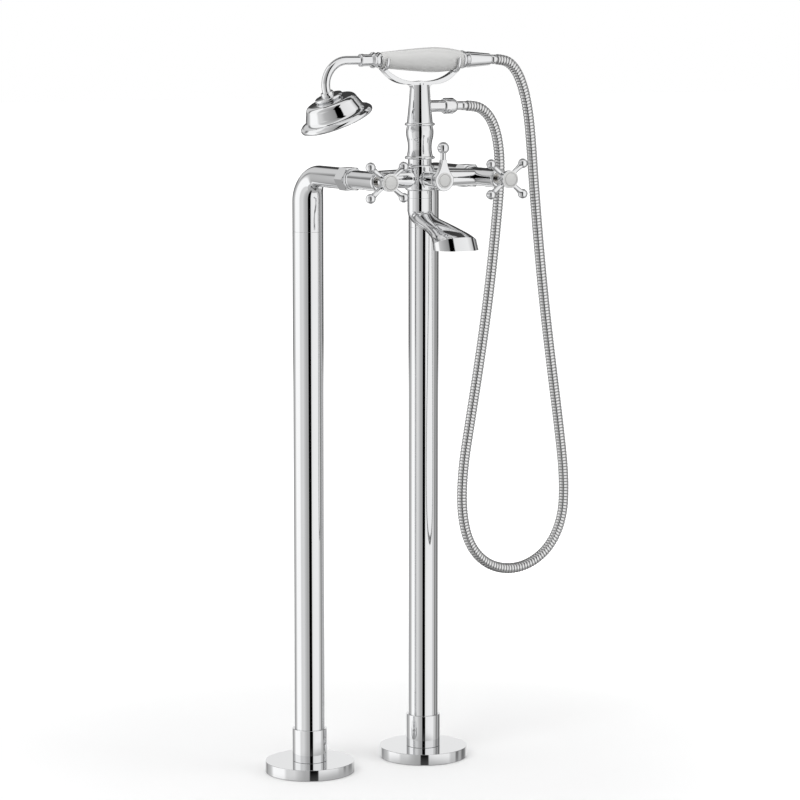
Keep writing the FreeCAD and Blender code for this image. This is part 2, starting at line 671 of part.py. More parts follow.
def mixer_body():
    """Brass casting: a drum in the middle, an arm to each side and a valve barrel on each arm."""
    body = new_body("mixer_body", ("0", "0", "axis_height"), "forward")
    spin(body, "drum", [
        ("-drum_bottom", "0"), ("-drum_bottom", "drum_radius - drum_round"),
        ("-drum_bottom + 0.293 * drum_round", "drum_radius - 0.293 * drum_round", "arc"),
        ("-drum_bottom + drum_round", "drum_radius"), ("drum_top - drum_round", "drum_radius"),
        ("drum_top - 0.293 * drum_round", "drum_radius - 0.293 * drum_round", "arc"),
        ("drum_top", "drum_radius - drum_round"), ("drum_top", "0")],
        plane="YZ", axis="H_Axis", at=("0", "column_forward", "0"))
    spin(body, "arms", [
        ("-pipe_spacing / 2", "0"), ("-pipe_spacing / 2", "arm_end_radius"),
        ("-drum_radius", "arm_root_radius"), ("drum_radius", "arm_root_radius"),
        ("pipe_spacing / 2", "arm_end_radius"), ("pipe_spacing / 2", "0")],
        axis="H_Axis", at=("0", "column_forward", "0"))
    spin(body, "diverter_boss", [
        ("0", "column_forward"), ("boss_radius", "column_forward"), ("boss_radius", "boss_front"),
        ("0", "boss_front")])
    for side, x in SIDES:
        spin(body, side + "_barrel", [
            ("0", INLET_FACE), ("thread_radius", INLET_FACE), ("thread_radius", LIP_START),
            ("lip_radius - 1", LIP_START), ("lip_radius", LIP_START + " + 1", "arc"),
            ("barrel_radius + 0.4", LIP_END), ("barrel_radius", LIP_END + " + 1.5"),
            ("barrel_radius", "barrel_front"), ("0", "barrel_front")], at=(x, "0", "0"))
    for side, x in SIDES:
        spin(body, side + "_inlet", [
            ("0", INLET_FACE + " - 1"), ("inlet_bore", INLET_FACE + " - 1"), ("inlet_bore", "valve_seat"),
            ("chamber_radius", "valve_seat"), ("chamber_radius", "barrel_front + 1"),
            ("0", "barrel_front + 1")], at=(x, "0", "0"), cut=True)
    spin(body, "arm_bores", cross_hole("-pipe_spacing / 2", "pipe_spacing / 2", "arm_bore"),
         axis="H_Axis", at=("0", "column_forward", "0"), cut=True)
    spin(body, "drum_bores", [
        ("-drum_bottom - 1", "0"), ("-drum_bottom - 1", "socket_radius"),
        ("-drum_bottom + socket_depth", "socket_radius"), ("-drum_bottom + socket_depth", "drum_bore"),
        ("drum_top - socket_depth", "drum_bore"), ("drum_top - socket_depth", "socket_radius"),
        ("drum_top + 1", "socket_radius"), ("drum_top + 1", "0")],
        plane="YZ", axis="H_Axis", at=("0", "column_forward", "0"), cut=True)
    spin(body, "diverter_chamber", [
        ("0", "plug_back - running"), (DIVERTER_CHAMBER, "plug_back - running"),
        (DIVERTER_CHAMBER, "boss_front + 1"), ("0", "boss_front + 1")], cut=True)


# ---------------------------------------------------------------- valves

def valve_frame(label, x):
    return new_body(label, (x, "0", "axis_height"), "forward")


def valve_cartridge(side, x):
    """Brass cage of the ceramic discs, with a window to each side and the spindle's neck."""
    body = valve_frame(side + "_valve_cartridge", x)
    bore = "(stem_radius + running)"
    cage = "(chamber_radius - slip)"
    pocket = "(disc_radius + slip)"
    spin(body, "cage", [
        (pocket, FIXED_DISC), (cage, FIXED_DISC), (cage, "cartridge_step"),
        ("neck_radius", "cartridge_step"), ("neck_radius", "neck_front"), (bore, "neck_front"),
        (bore, CAGE_END), (pocket, CAGE_END)])
    for name, start, end in (("inner", "disc_radius - 2", "chamber_radius + 1"),
                             ("outer", "-chamber_radius - 1", "-disc_radius + 2")):
        spin(body, name + "_window", cross_hole(start, end, "arm_bore / 2"), axis="H_Axis",
             at=("0", "column_forward", "0"), cut=True)


def ported_disc(label, x, start):
    body = valve_frame(label, x)
    end = "(%s + disc_thick)" % start
    spin(body, "disc", [("0", start), ("disc_radius", start), ("disc_radius", end), ("0", end)])
    for name, reach in (("first", "port_reach"), ("second", "-port_reach")):
        spin(body, name + "_port", [
            ("0", start + " - 1"), ("port_radius", start + " - 1"), ("port_radius", end + " + 1"),
            ("0", end + " + 1")], at=(reach, "0", "0"), cut=True)
    return body


def moving_disc(side, x):
    """The disc that turns, with a slot at its front for the spindle's tongue."""
    body = ported_disc(side + "_moving_disc", x, MOVING_DISC)
    half = "(tongue_width / 2 + running)"
    extrude(body, "slot", [
        ("-" + half, "-disc_radius - 1"), (half, "-disc_radius - 1"), (half, "disc_radius + 1"),
        ("-" + half, "disc_radius + 1")], "tongue_depth + 1",
        at=("0", "0", MOVING_DISC + " + disc_thick - tongue_depth - running"), cut=True)


def valve_spindle(side, x):
    """Brass spindle: a disc with a tongue at the back, a stem, and a threaded front end."""
    body = valve_frame(side + "_valve_spindle", x)
    spin(body, "stem", [
        ("0", DRIVER), ("disc_radius - slip", DRIVER), ("disc_radius - slip", DRIVER + " + driver_thick"),
        ("stem_radius", DRIVER + " + driver_thick"), ("stem_radius", STEM_END), ("0", STEM_END)])
    half = "(tongue_width / 2)"
    reach = "(disc_radius - 2)"
    extrude(body, "tongue", [
        ("-" + half, "-" + reach), (half, "-" + reach), (half, reach), ("-" + half, reach)],
        "tongue_depth + 0.5", at=("0", "0", DRIVER + " - tongue_depth"))
    spin(body, "screw_thread", [
        ("0", STEM_END + " - 12"), ("handle_screw_radius + running", STEM_END + " - 12"),
        ("handle_screw_radius + running", STEM_END + " + 1"), ("0", STEM_END + " + 1")], cut=True)


def valve_bonnet(side, x):
    """Chromed shroud in front of the barrel, with a rounded front edge."""
    body = valve_frame(side + "_valve_bonnet", x)
    start = "(barrel_front + slip)"
    inner = "chamber_radius + slip"
    spin(body, "shroud", [
        (inner, start), ("bonnet_radius", start), ("bonnet_radius", "bonnet_front - bonnet_round"),
        ("bonnet_radius - 0.293 * bonnet_round", "bonnet_front - 0.293 * bonnet_round", "arc"),
        ("bonnet_radius - bonnet_round", "bonnet_front"), ("neck_radius + slip", "bonnet_front"),
        ("neck_radius + slip", "bonnet_front - bonnet_web"), (inner, "bonnet_front - bonnet_web")])


ARM_TURNS = ("arm_rise", "180 - arm_rise", "180 + arm_rise", "360 - arm_rise")


def cross_handle(side, x):
    """Cast cross handle: a bell shaped hub and four arms that swell into balls."""
    body = valve_frame(side + "_cross_handle", x)
    spin(body, "hub", [
        ("0", "hub_back"), ("hub_waist", "hub_back"), ("hub_waist - 0.3", "hub_back + 4"),
        ("hub_waist + 1.2", "arm_plane - 1.5", "arc"), ("hub_radius - 0.4", "arm_plane + 3"),
        ("hub_radius", "hub_front - 2.5"), ("hub_radius", "hub_front"), ("0", "hub_front")])
    for number, turn in enumerate(ARM_TURNS, start=1):
        spin(body, "arm_%d" % number, [
            ("4", "0"), ("4", "arm_radius + 1"), ("ball_reach * 0.45", "arm_radius - 0.3", "arc"),
            ("ball_reach - ball_radius * 0.8", "ball_radius * 0.6"),
            ("ball_reach", "ball_radius", "arc"), ("ball_reach + ball_radius", "0")],
            plane="XY", axis="H_Axis", at=("0", "0", "arm_plane"), turn=turn)
    spin(body, "bores", [
        ("0", "hub_back - 1"), ("stem_radius + running", "hub_back - 1"),
        ("stem_radius + running", STEM_END + " + slip"),
        ("handle_screw_radius + slip", STEM_END + " + slip"), ("handle_screw_radius + slip", HEAD_SEAT),
        ("handle_screw_head + slip", HEAD_SEAT), ("handle_screw_head + slip", RECESS_FLOOR),
        ("index_radius + slip", RECESS_FLOOR), ("index_radius + slip", "hub_front + 1"),
        ("0", "hub_front + 1")], cut=True)


def index_disc(side, x):
    """Domed porcelain disc in the front of the handle."""
    body = valve_frame(side + "_index_disc", x)
    floor = "(hub_front - index_recess + slip)"
    spin(body, "dome", dome(floor, "index_radius", "(hub_front + 0.4)", "(index_dome - 0.4)"))


def handle_screw(side, x):
    body = valve_frame(side + "_handle_screw", x)
    spin(body, "screw", [
        ("0", STEM_END + " - 10"), ("handle_screw_radius", STEM_END + " - 10"),
        ("handle_screw_radius", HEAD_SEAT), ("handle_screw_head", HEAD_SEAT),
        ("handle_screw_head", RECESS_FLOOR + " - 0.4"), ("0", RECESS_FLOOR + " - 0.4")])
    half = "0.45"
    extrude(body, "slot", [
        ("-" + half, "-handle_screw_head - 1"), (half, "-handle_screw_head - 1"),
        (half, "handle_screw_head + 1"), ("-" + half, "handle_screw_head + 1")], "2",
        at=("0", "0", RECESS_FLOOR + " - 1.4"), cut=True)


# ---------------------------------------------------------------- diverter

def diverter_frame(label):
    return new_body(label, ("0", "0", "axis_height"), "forward")


def diverter_spindle():
    """Brass plug with a cross port that sends the water up or down, and its stem."""
    body = diverter_frame("diverter_spindle")
    spin(body, "plug", [
        ("0", "plug_back"), ("plug_radius", "plug_back"), ("plug_radius", PLUG_FRONT),
        ("diverter_stem", PLUG_FRONT), ("diverter_stem", LEVER_STEM_END), ("0", LEVER_STEM_END)])
    spin(body, "side_port", cross_hole("0", "plug_radius + 1", "plug_port"), axis="H_Axis",
         at=("0", "column_forward", "0"), cut=True)
    spin(body, "down_port", cross_hole("-plug_radius - 1", "0", "plug_port"), plane="YZ",
         axis="H_Axis", at=("0", "column_forward", "0"), cut=True)
    spin(body, "screw_thread", [
        ("0", LEVER_STEM_END + " - 12"), ("handle_screw_radius + running", LEVER_STEM_END + " - 12"),
        ("handle_screw_radius + running", LEVER_STEM_END + " + 1"), ("0", LEVER_STEM_END + " + 1")],
        cut=True)


def diverter_gland():
    """Threaded brass gland that keeps the plug in its chamber."""
    body = diverter_frame("diverter_gland")
    bore = "diverter_stem + running"
    start = "(plug_back + plug_length + slip)"
    front = "(cone_front - slip)"
    spin(body, "gland", [
        (bore, start), ("plug_radius - running", start), ("plug_radius - running", "boss_front + 6"),
        ("gland_radius", "boss_front + 6"), ("gland_radius", front), (bore, front)])


def diverter_bonnet():
    """Chromed cone between the drum and the lever, wider at the lever."""
    body = diverter_frame("diverter_bonnet")
    start = "(boss_front + slip)"
    inner = "(plug_radius + slip)"
    spin(body, "cone", [
        (inner, start), ("cone_back_radius", start), ("cone_front_radius", "cone_front - 1"),
        ("cone_front_radius - 1", "cone_front"), ("gland_radius + slip", "cone_front"),
        ("gland_radius + slip", "cone_front - cone_web"), (inner, "cone_front - cone_web")])


def diverter_lever():
    """Cast lever: a round end with a recess, a blade that narrows upwards, and a ball."""
    body = diverter_frame("diverter_lever")
    side_reach = "lever_radius * 0.94"
    side_rise = "lever_radius * 0.34"
    blade = extrude(body, "blade", [
        ("-lever_neck", "lever_neck_rise"), ("-lever_neck * 1.45", "lever_neck_rise * 0.66", "arc"),
        ("-" + side_reach, side_rise), ("0", "-lever_radius", "arc"), (side_reach, side_rise),
        ("lever_neck * 1.45", "lever_neck_rise * 0.66", "arc"), ("lever_neck", "lever_neck_rise")],
        "lever_thick", at=("0", "0", "lever_back"))
    front = size(LEVER_FRONT)
    back = size("lever_back")

    def level_edge(edge):
        box = edge.BoundBox
        flat = box.ZLength < 0.01
        at_face = min(abs(box.ZMax - front), abs(box.ZMax - back)) < 0.01
        at_top = box.YMin > size("lever_neck_rise") - 0.01
        return flat and at_face and not at_top

    round_edges(body, "blade_edges", blade, "lever_thick * 0.3", level_edge)
    middle = "lever_back + lever_thick / 2"
    spin(body, "neck", [
        ("lever_neck_rise - 3", "0"), ("lever_neck_rise - 3", "lever_neck - 0.2"),
        ("lever_neck_rise + 3", "lever_neck - 0.2"),
        ("lever_ball_rise - lever_ball_radius * 15 / 17", "lever_ball_radius * 8 / 17"),
        ("lever_ball_rise", "lever_ball_radius", "arc"), ("lever_ball_rise + lever_ball_radius", "0")],
        plane="XY", axis="H_Axis", at=("0", "0", middle), turn="90")
    spin(body, "back_boss", [
        ("0", "cone_front + air"), ("lever_radius * 0.6", "cone_front + air"),
        ("lever_radius * 0.6", "lever_back + 1"), ("0", "lever_back + 1")])
    spin(body, "bores", [
        ("0", "cone_front - 1"), ("diverter_stem + running", "cone_front - 1"),
        ("diverter_stem + running", LEVER_STEM_END + " + slip"),
        ("handle_screw_radius + slip", LEVER_STEM_END + " + slip"),
        ("handle_screw_radius + slip", LEVER_SEAT), ("handle_screw_head + slip", LEVER_SEAT),
        ("handle_screw_head + slip", LEVER_FLOOR), ("lever_disc_radius + slip", LEVER_FLOOR),
        ("lever_disc_radius + slip", LEVER_FRONT + " + 1"), ("0", LEVER_FRONT + " + 1")], cut=True)


def lever_index_disc():
    body = diverter_frame("lever_index_disc")
    spin(body, "dome", dome(LEVER_FLOOR + " + slip", "lever_disc_radius", "(" + LEVER_FRONT + " + 0.3)",
                            "(lever_disc_dome - 0.3)"))


def lever_screw():
    body = diverter_frame("lever_screw")
    spin(body, "screw", [
        ("0", LEVER_STEM_END + " - 10"), ("handle_screw_radius", LEVER_STEM_END + " - 10"),
        ("handle_screw_radius", LEVER_SEAT), ("handle_screw_head", LEVER_SEAT),
        ("handle_screw_head", LEVER_FLOOR + " - 0.2"), ("0", LEVER_FLOOR + " - 0.2")])


# ---------------------------------------------------------------- spout

SOCKET_FIT = "(socket_radius - slip)"
TAIL_DROP = "(spout_seam - drum_bottom)"


def spout_tail():
    """Short threaded tube between the drum and the spout."""
    body = new_body("spout_tail", ("0", "-column_forward", DRUM_FLOOR), "down")
    spin(body, "tail", [
        ("spout_bore", "-socket_depth + slip"), (SOCKET_FIT, "-socket_depth + slip"), (SOCKET_FIT, "0"),
        ("drum_radius - drum_round", "0"), ("spout_radius - slip", "0.8"),
        ("spout_radius - slip", TAIL_DROP), (SOCKET_FIT, TAIL_DROP),
        (SOCKET_FIT, TAIL_DROP + " + socket_depth"), ("spout_bore", TAIL_DROP + " + socket_depth")])


# Sections of the cast spout in side view: the upper and the lower point as distance forward of
# the spout's axis and drop below the valve axis, and the full width.
SPOUT_SECTIONS = [
    ("spout_radius", "spout_bend", "-spout_radius", "spout_bend", "2 * spout_radius"),
    ("spout_radius + 3.5", "spout_bend + 3.5", "-spout_radius + 5", "spout_bend + 9", "2 * spout_radius + 0.8"),
    ("33", "spout_bend + 7.5", "5", "spout_bend + 17.5", "36"),
    ("55", "spout_bend + 12", "38", "mouth_drop - 20", "40"),
    ("79", "spout_bend + 17.5", "60", "mouth_drop - 11.5", "47"),
    ("104", "mouth_drop - 15", "68", "mouth_drop - 5.5", "56"),
    ("120", "mouth_drop", "70", "mouth_drop", "61"),
]


def spout_form(name, inset):
    """Ellipses through the sections, drawn in by an inset, joined by a smooth loft."""
    wires = []
    for upper_reach, upper_drop, lower_reach, lower_drop, width in SPOUT_SECTIONS:
        upper = Vector(0, -size("column_forward + " + upper_reach), size("axis_height - (%s)" % upper_drop))
        lower = Vector(0, -size("column_forward + " + lower_reach), size("axis_height - (%s)" % lower_drop))
        middle = (upper + lower) / 2
        half_width = size(width) / 2 - inset
        half_height = (upper - lower).Length / 2 - inset
        along = (upper - lower).normalize()
        sideways = Vector(1, 0, 0)
        if half_width - half_height > 0.01:
            curve = Part.Ellipse(middle + sideways * half_width, middle + along * half_height, middle)
        else:
            curve = Part.Circle(middle, sideways.cross(along), half_width)
            curve.XAxis = sideways
        wires.append(Part.Wire([curve.toShape()]))
    return Part.makeLoft(wires, True, False)


def spout():
    """Cast spout: a plain tube that bends forward and flares to a wide mouth facing down."""
    wall = size("spout_wall")
    top = size("axis_height - spout_seam")
    bend_start = size("axis_height - spout_bend")
    base = Vector(0, -size("column_forward"), bend_start)
    radius = size("spout_radius")
    up = Vector(0, 0, 1)
    outside = Part.makeCylinder(radius, top - bend_start, base, up).fuse(spout_form("outside", 0.0))
    socket_floor = Vector(0, -size("column_forward"), top - size("socket_depth") - size("slip"))
    inside = Part.makeCylinder(radius - wall, socket_floor.z - bend_start, base, up)
    inside = inside.fuse(spout_form("inside", wall))
    inside = inside.fuse(Part.makeCylinder(size("socket_radius"), 2 * size("socket_depth"), socket_floor, up))
    reach = size("column_forward")
    below = Vector(-reach, -2 * reach, size("axis_height - mouth_drop + slip") - 4 * wall)
    lip = Part.makeBox(2 * reach, reach, 4 * wall, below)
    thing = doc.addObject("Part::Feature", "spout")
    thing.Shape = outside.cut(inside).cut(lip).removeSplitter()
    thing.Placement = Placement()
    parts.append(thing)


# ---------------------------------------------------------------- column

def baluster():
    """Lower part of the column, turned with a ring, a waist, a bulge and a second ring."""
    body = new_body("column_baluster", ("0", "-column_forward", "0"))
    bead = "(bead_radius - bead_height / 2)"
    lower_mid = "(lower_bead + bead_height / 2)"
    upper_mid = "(upper_bead + bead_height / 2)"
    top = "(upper_bead + bead_height)"
    waist = "(lower_bead * 0.63 + upper_bead * 0.37)"
    bulge = "(lower_bead * 0.2 + upper_bead * 0.8)"
    knee = "(lower_bead * 0.42 + upper_bead * 0.58)"
    spin(body, "baluster", [
        ("column_bore", DRUM_TOP + " - socket_depth + slip"), (SOCKET_FIT, DRUM_TOP + " - socket_depth + slip"),
        (SOCKET_FIT, DRUM_TOP), ("column_neck", DRUM_TOP), ("column_neck", "lower_bead"),
        (bead, "lower_bead"), ("bead_radius", lower_mid, "arc"), (bead, "lower_bead + bead_height"),
        ("column_foot", "lower_bead + bead_height"), ("column_neck", waist, "arc"),
        ("column_neck + 1.1", knee), ("column_bulge", bulge, "arc"), ("column_neck + 1.2", "upper_bead"),
        (bead, "upper_bead"), ("bead_radius", upper_mid, "arc"), (bead, top), (SOCKET_FIT + " + slip", top),
        (SOCKET_FIT + " + slip", top + " - socket_depth"), ("column_bore", top + " - socket_depth")])


def column_cone():
    """Upper part of the column, a slim cone with the shower outlet on its right."""
    body = new_body("column_cone", ("0", "-column_forward", "0"))
    foot = "(upper_bead + bead_height)"
    spin(body, "cone", [
        ("0", foot + " - socket_depth + slip"), (SOCKET_FIT, foot + " - socket_depth + slip"),
        (SOCKET_FIT, foot), ("cone_foot", foot), ("cone_foot", foot + " + 1.5"),
        ("cone_top + 1.6", "outlet_height + 8", "arc"), ("cone_top", "column_top"), ("0", "column_top")])
    spin(body, "outlet", [
        ("0", "0"), ("0", "outlet_radius"), ("outlet_reach", "outlet_radius"),
        ("outlet_reach", "outlet_thread"), (OUTLET_END, "outlet_thread"), (OUTLET_END, "0")],
        axis="H_Axis", at=("0", "outlet_height", "0"))
    spin(body, "waterway", [
        ("0", foot + " - socket_depth - 1"), ("column_bore", foot + " - socket_depth - 1"),
        ("column_bore", "outlet_height + outlet_bore"), ("0", "outlet_height + outlet_bore")], cut=True)
    spin(body, "outlet_bore", cross_hole("0", OUTLET_END + " + 1", "outlet_bore"), axis="H_Axis",
         at=("0", "outlet_height", "0"), cut=True)
    spin(body, "cradle_socket", [
        ("0", "column_top - cradle_stem_length - 0.5"),
        ("cradle_stem + slip", "column_top - cradle_stem_length - 0.5"),
        ("cradle_stem + slip", "column_top + 1"), ("0", "column_top + 1")], cut=True)


def lower_hose_washer():
    body = new_body("lower_hose_washer", ("0", "-column_forward", "outlet_height"), "right")
    spin(body, "washer", tube(OUTLET_END, OUTLET_END + " + hose_washer", "outlet_bore", "outlet_thread"))


def lower_hose_nut():
    """Round nut that holds the hose's lower end on the outlet."""
    body = new_body("lower_hose_nut", ("0", "-column_forward", "outlet_height"), "right")
    inner = "outlet_thread + slip"
    neck = "(ferrule_radius - 1 + slip)"
    spin(body, "nut", [
        (inner, LOWER_NUT_START), ("hose_nut_radius - 1.2", LOWER_NUT_START),
        ("hose_nut_radius", LOWER_NUT_START + " + 2"), ("hose_nut_radius", LOWER_WEB + " - 1"),
        ("hose_nut_radius - 2.6", LOWER_NUT_END), (neck, LOWER_NUT_END), (neck, LOWER_WEB),
        (inner, LOWER_WEB)])


def lower_ferrule():
    """Tail piece crimped in the hose's lower end, with its head behind the nut's wall."""
    body = new_body("lower_hose_ferrule", ("0", "-column_forward", "outlet_height"), "right")
    neck = "(ferrule_radius - 1)"
    head = "(%s + hose_washer)" % OUTLET_END
    shoulder = "(%s + slip)" % LOWER_NUT_END
    spin(body, "ferrule", [
        ("hose_bore - 1.4", head), ("outlet_thread", head), ("outlet_thread", LOWER_WEB),
        (neck, LOWER_WEB), (neck, shoulder), ("ferrule_radius", shoulder),
        ("ferrule_radius", "lower_ferrule_end"), ("hose_bore - slip", "lower_ferrule_end"),
        ("hose_bore - slip", "lower_ferrule_end + %s" % BARB),
        ("hose_bore - 1.4", "lower_ferrule_end + %s" % BARB)])


# ---------------------------------------------------------------- cradle

GRIP_GAP = "air"


def fork_outline(radius):
    """U shaped outline, seen along the handset, that the grip drops into from above."""
    inner = "(%s + %s)" % (radius, GRIP_GAP)
    outer = "(%s + %s + fork_wall)" % (radius, GRIP_GAP)
    lip = "handset_height + fork_lip"
    return [
        (inner, lip), (inner, "handset_height"), ("0", "handset_height - " + inner, "arc"),
        ("-" + inner, "handset_height"), ("-" + inner, lip), ("-" + outer, lip),
        ("-" + outer, "handset_height"), ("0", "handset_height - " + outer, "arc"),
        (outer, "handset_height"), (outer, lip)]


# Largest radius of the grip inside each fork.
LEFT_SEAT = "(grip_left_radius + (grip_radius - grip_left_radius) * 0.17)"
RIGHT_SEAT = "(grip_right_radius + (grip_radius - grip_right_radius) * 0.61)"


def cradle():
    """Cast crescent on the column with a fork at each end that holds the grip."""
    body = new_body("handset_cradle", ("0", "-column_forward", "0"))
    left_out = "-fork_left - fork_width"
    right_out = "fork_right + fork_width"
    left_low = "(handset_height - %s - %s - 1)" % (LEFT_SEAT, GRIP_GAP)
    right_low = "(handset_height - %s - %s - 1)" % (RIGHT_SEAT, GRIP_GAP)
    extrude(body, "crescent", [
        (left_out, left_low), ("-34", "column_top + 3.1", "arc"), ("-12", "column_top"),
        ("12", "column_top"), ("34", "column_top + 2.9", "arc"), (right_out, right_low),
        ("fork_right", right_low), ("26", "column_top + cradle_rise + 1.6", "arc"),
        ("0", "column_top + cradle_rise"), ("-26", "column_top + cradle_rise + 1.6", "arc"),
        ("-fork_left", left_low)], "cradle_depth", plane="XZ", middle=True)
    spin(body, "stem", [
        ("0", "column_top - cradle_stem_length"), ("cradle_stem", "column_top - cradle_stem_length"),
        ("cradle_stem", "column_top + 2"), ("0", "column_top + 2")])
    extrude(body, "left_fork", fork_outline(LEFT_SEAT), "fork_width", plane="YZ",
            at=("0", "0", "-fork_left - fork_width"))
    extrude(body, "right_fork", fork_outline(RIGHT_SEAT), "fork_width", plane="YZ",
            at=("0", "0", "fork_right"))


# ---------------------------------------------------------------- handset

def handset_frame(label):
    return new_body(label, ("0", "-column_forward", "handset_height"), "right")


def grip():
    """Porcelain grip, slim at both ends and fullest right of its middle."""
    body = handset_frame("handset_grip")
    spin(body, "grip", [
        ("core_radius + slip", "-grip_left"), ("grip_left_radius", "-grip_left"),
        ("grip_left_radius + (grip_radius - grip_left_radius) * 0.5", "-grip_left * 0.45", "arc"),
        ("grip_radius - 0.4", "8"), ("grip_radius", "26", "arc"), ("grip_right_radius", "grip_right"),
        ("core_radius + slip", "grip_right")])


def grip_core():
    """Brass tube through the grip that carries the water and holds the collars together."""
    body = handset_frame("grip_core")
    spin(body, "core", tube("-grip_left - 12", "rear_collar_end + 14", "core_bore", "core_radius"))


def front_collar():
    """Chromed collar with a sleeve, between the grip and the bent neck."""
    body = handset_frame("front_collar")
    ring_end = "-grip_left - slip"
    spin(body, "collar", [
        ("core_radius + slip", ring_end), ("front_collar_radius - 0.6", ring_end),
        ("front_collar_radius", ring_end + " - 2"), ("front_collar_radius - 1.2", ring_end + " - 4"),
        ("front_collar_radius - 1.2", ring_end + " - 7"), ("front_collar_radius", ring_end + " - 9"),
        ("front_collar_radius", ring_end + " - 11"), ("sleeve_radius", ring_end + " - 14"),
        ("sleeve_radius", "-sleeve_end + 5.5"), ("sleeve_radius + 0.6", "-sleeve_end + 4.5"),
        ("sleeve_radius + 0.6", "-sleeve_end + 0.8"), ("sleeve_radius - 0.2", "-sleeve_end"),
        ("neck_tube_radius + slip", "-sleeve_end"), ("neck_tube_radius + slip", "-grip_left - 13"),
        ("core_radius + slip", "-grip_left - 13")])


def rear_collar():
    body = handset_frame("rear_collar")
    start = "(grip_right + slip)"
    spin(body, "collar", [
        ("core_radius + slip", start), ("grip_right_radius", start),
        ("rear_collar_radius", start + " + 2", "arc"), ("grip_right_radius - 0.2", start + " + 4"),
        ("cone_nut_radius", start + " + 6"), ("cone_nut_radius - 0.6", "rear_collar_end"),
        ("core_radius + slip", "rear_collar_end")])


def cone_nut():
    """Long conical nut that joins the hose to the handset."""
    body = handset_frame("upper_hose_nut")
    start = "(rear_collar_end + slip)"
    thread_end = "(rear_collar_end + 18)"
    neck = "(ferrule_radius - 1 + slip)"
    spin(body, "nut", [
        ("core_radius + slip", start), ("cone_nut_radius - 0.5", start), ("cone_nut_radius", start + " + 1"),
        ("cone_nut_end_radius", "cone_nut_end - 1"), ("cone_nut_end_radius - 0.8", "cone_nut_end"),
        (neck, "cone_nut_end"), (neck, thread_end + " + 2"), ("core_radius + slip", thread_end)])


def upper_ferrule():
    body = handset_frame("upper_hose_ferrule")
    neck = "(ferrule_radius - 1)"
    spin(body, "ferrule", [
        ("hose_bore - 1.4", "rear_collar_end + 14.2"), ("core_radius", "rear_collar_end + 14.2"),
        ("core_radius", "rear_collar_end + 17.6"), (neck, "rear_collar_end + 19.6"),
        (neck, "cone_nut_end + slip"), ("ferrule_radius", "cone_nut_end + slip"),
        ("ferrule_radius", "upper_ferrule_end"), ("hose_bore - 1.4", "upper_ferrule_end")])


def neck_tube():
    """Bent tube from the sleeve over and down to the rose."""
    body = new_body("handset_neck", ("0", "-column_forward", "handset_height"))
    spin(body, "straight", [
        ("-neck_reach", "neck_tube_bore"), ("-neck_reach", "neck_tube_radius"),
        ("-grip_left - 13.2", "neck_tube_radius"), ("-grip_left - 13.2", "neck_tube_bore")],
        axis="H_Axis")
    sketch = new_sketch(body, "bend_ring", "YZ", ("0", "-neck_bend", "-neck_reach"), "0")
    circles = []
    for radius in ("neck_tube_radius", "neck_tube_bore"):
        centre = Vector(0, size("neck_bend"), 0)
        circles.append((sketch.addGeometry(Part.Circle(centre, Vector(0, 0, 1), size(radius)), False), radius))
    for circle, radius in circles:
        sketch.addConstraint(Sketcher.Constraint("PointOnObject", circle, 3, -2))
        number = sketch.addConstraint(Sketcher.Constraint("DistanceY", circle, 3, size("neck_bend")))
        bind(sketch, "Constraints[%d]" % number, "neck_bend")
        number = sketch.addConstraint(Sketcher.Constraint("Radius", circle, size(radius)))
        bind(sketch, "Constraints[%d]" % number, radius)
    bend_turn = body.newObject("PartDesign::Revolution", "bend")
    bend_turn.Profile = sketch
    bend_turn.ReferenceAxis = (sketch, ["H_Axis"])
    bend_turn.Angle = size("90 + rose_tilt")
    bind(bend_turn, "Angle", "90 + rose_tilt")
    bend_turn.Reversed = True
    return body


def rose_frame(label):
    tilt = math.radians(size("rose_tilt"))
    across = "(neck_reach + neck_bend * %.6f)" % math.cos(tilt)
    down = "(neck_bend * (1 + %.6f))" % math.sin(tilt)
    turn = Rotation(Vector(0, 1, 0), 180 - size("rose_tilt"))
    return new_body(label, ("-" + across, "-column_forward", "handset_height - " + down), turn)


def rose_body():
    """Bell shaped rose: a collar, a ring, a round shoulder and a flared rim with a bead."""
    body = rose_frame("rose_body")
    spin(body, "bell", [
        ("neck_tube_radius + slip", "-3"), ("rose_collar_radius - 0.8", "-3"), ("rose_collar_radius", "-2"),
        ("rose_collar_radius", "1.6"), ("rose_ring_radius - 1.6", "2.6"),
        ("rose_ring_radius", "4.6", "arc"), ("rose_ring_radius - 1.6", "6.8"),
        ("rose_ring_radius - 3", "7.4"), ("rose_shoulder - 5.5", "8.6"),
        ("rose_shoulder - 0.6", "10.8", "arc"), ("rose_shoulder + 1.8", "15.6"),
        ("rose_waist", "24.5"), ("rose_waist + 3.4", "29.8", "arc"),
        ("rose_rim - 2.6", "rose_depth - 7.4"), ("rose_rim - 0.4", "rose_depth - 5.2"),
        ("rose_rim", "rose_depth - 2.6", "arc"), ("rose_rim - 1.6", "rose_depth"),
        ("rose_rim - 4", "rose_depth"), ("rose_rim - 4", "rose_depth - 3.2"),
        ("rose_rim - 5.4", "rose_depth - 3.2"), ("rose_waist + 3.6 - rose_wall", "31.6"),
        ("rose_waist - rose_wall", "25.6"), ("rose_shoulder + 1.5 - rose_wall", "16.6"),
        ("rose_shoulder - 6.5", "10.4"), ("core_bore", "9.6"), ("core_bore", "3"),
        ("neck_tube_radius + slip", "3")])


NOZZLE_RINGS = ((8, "11"), (16, "22"), (24, "33"))


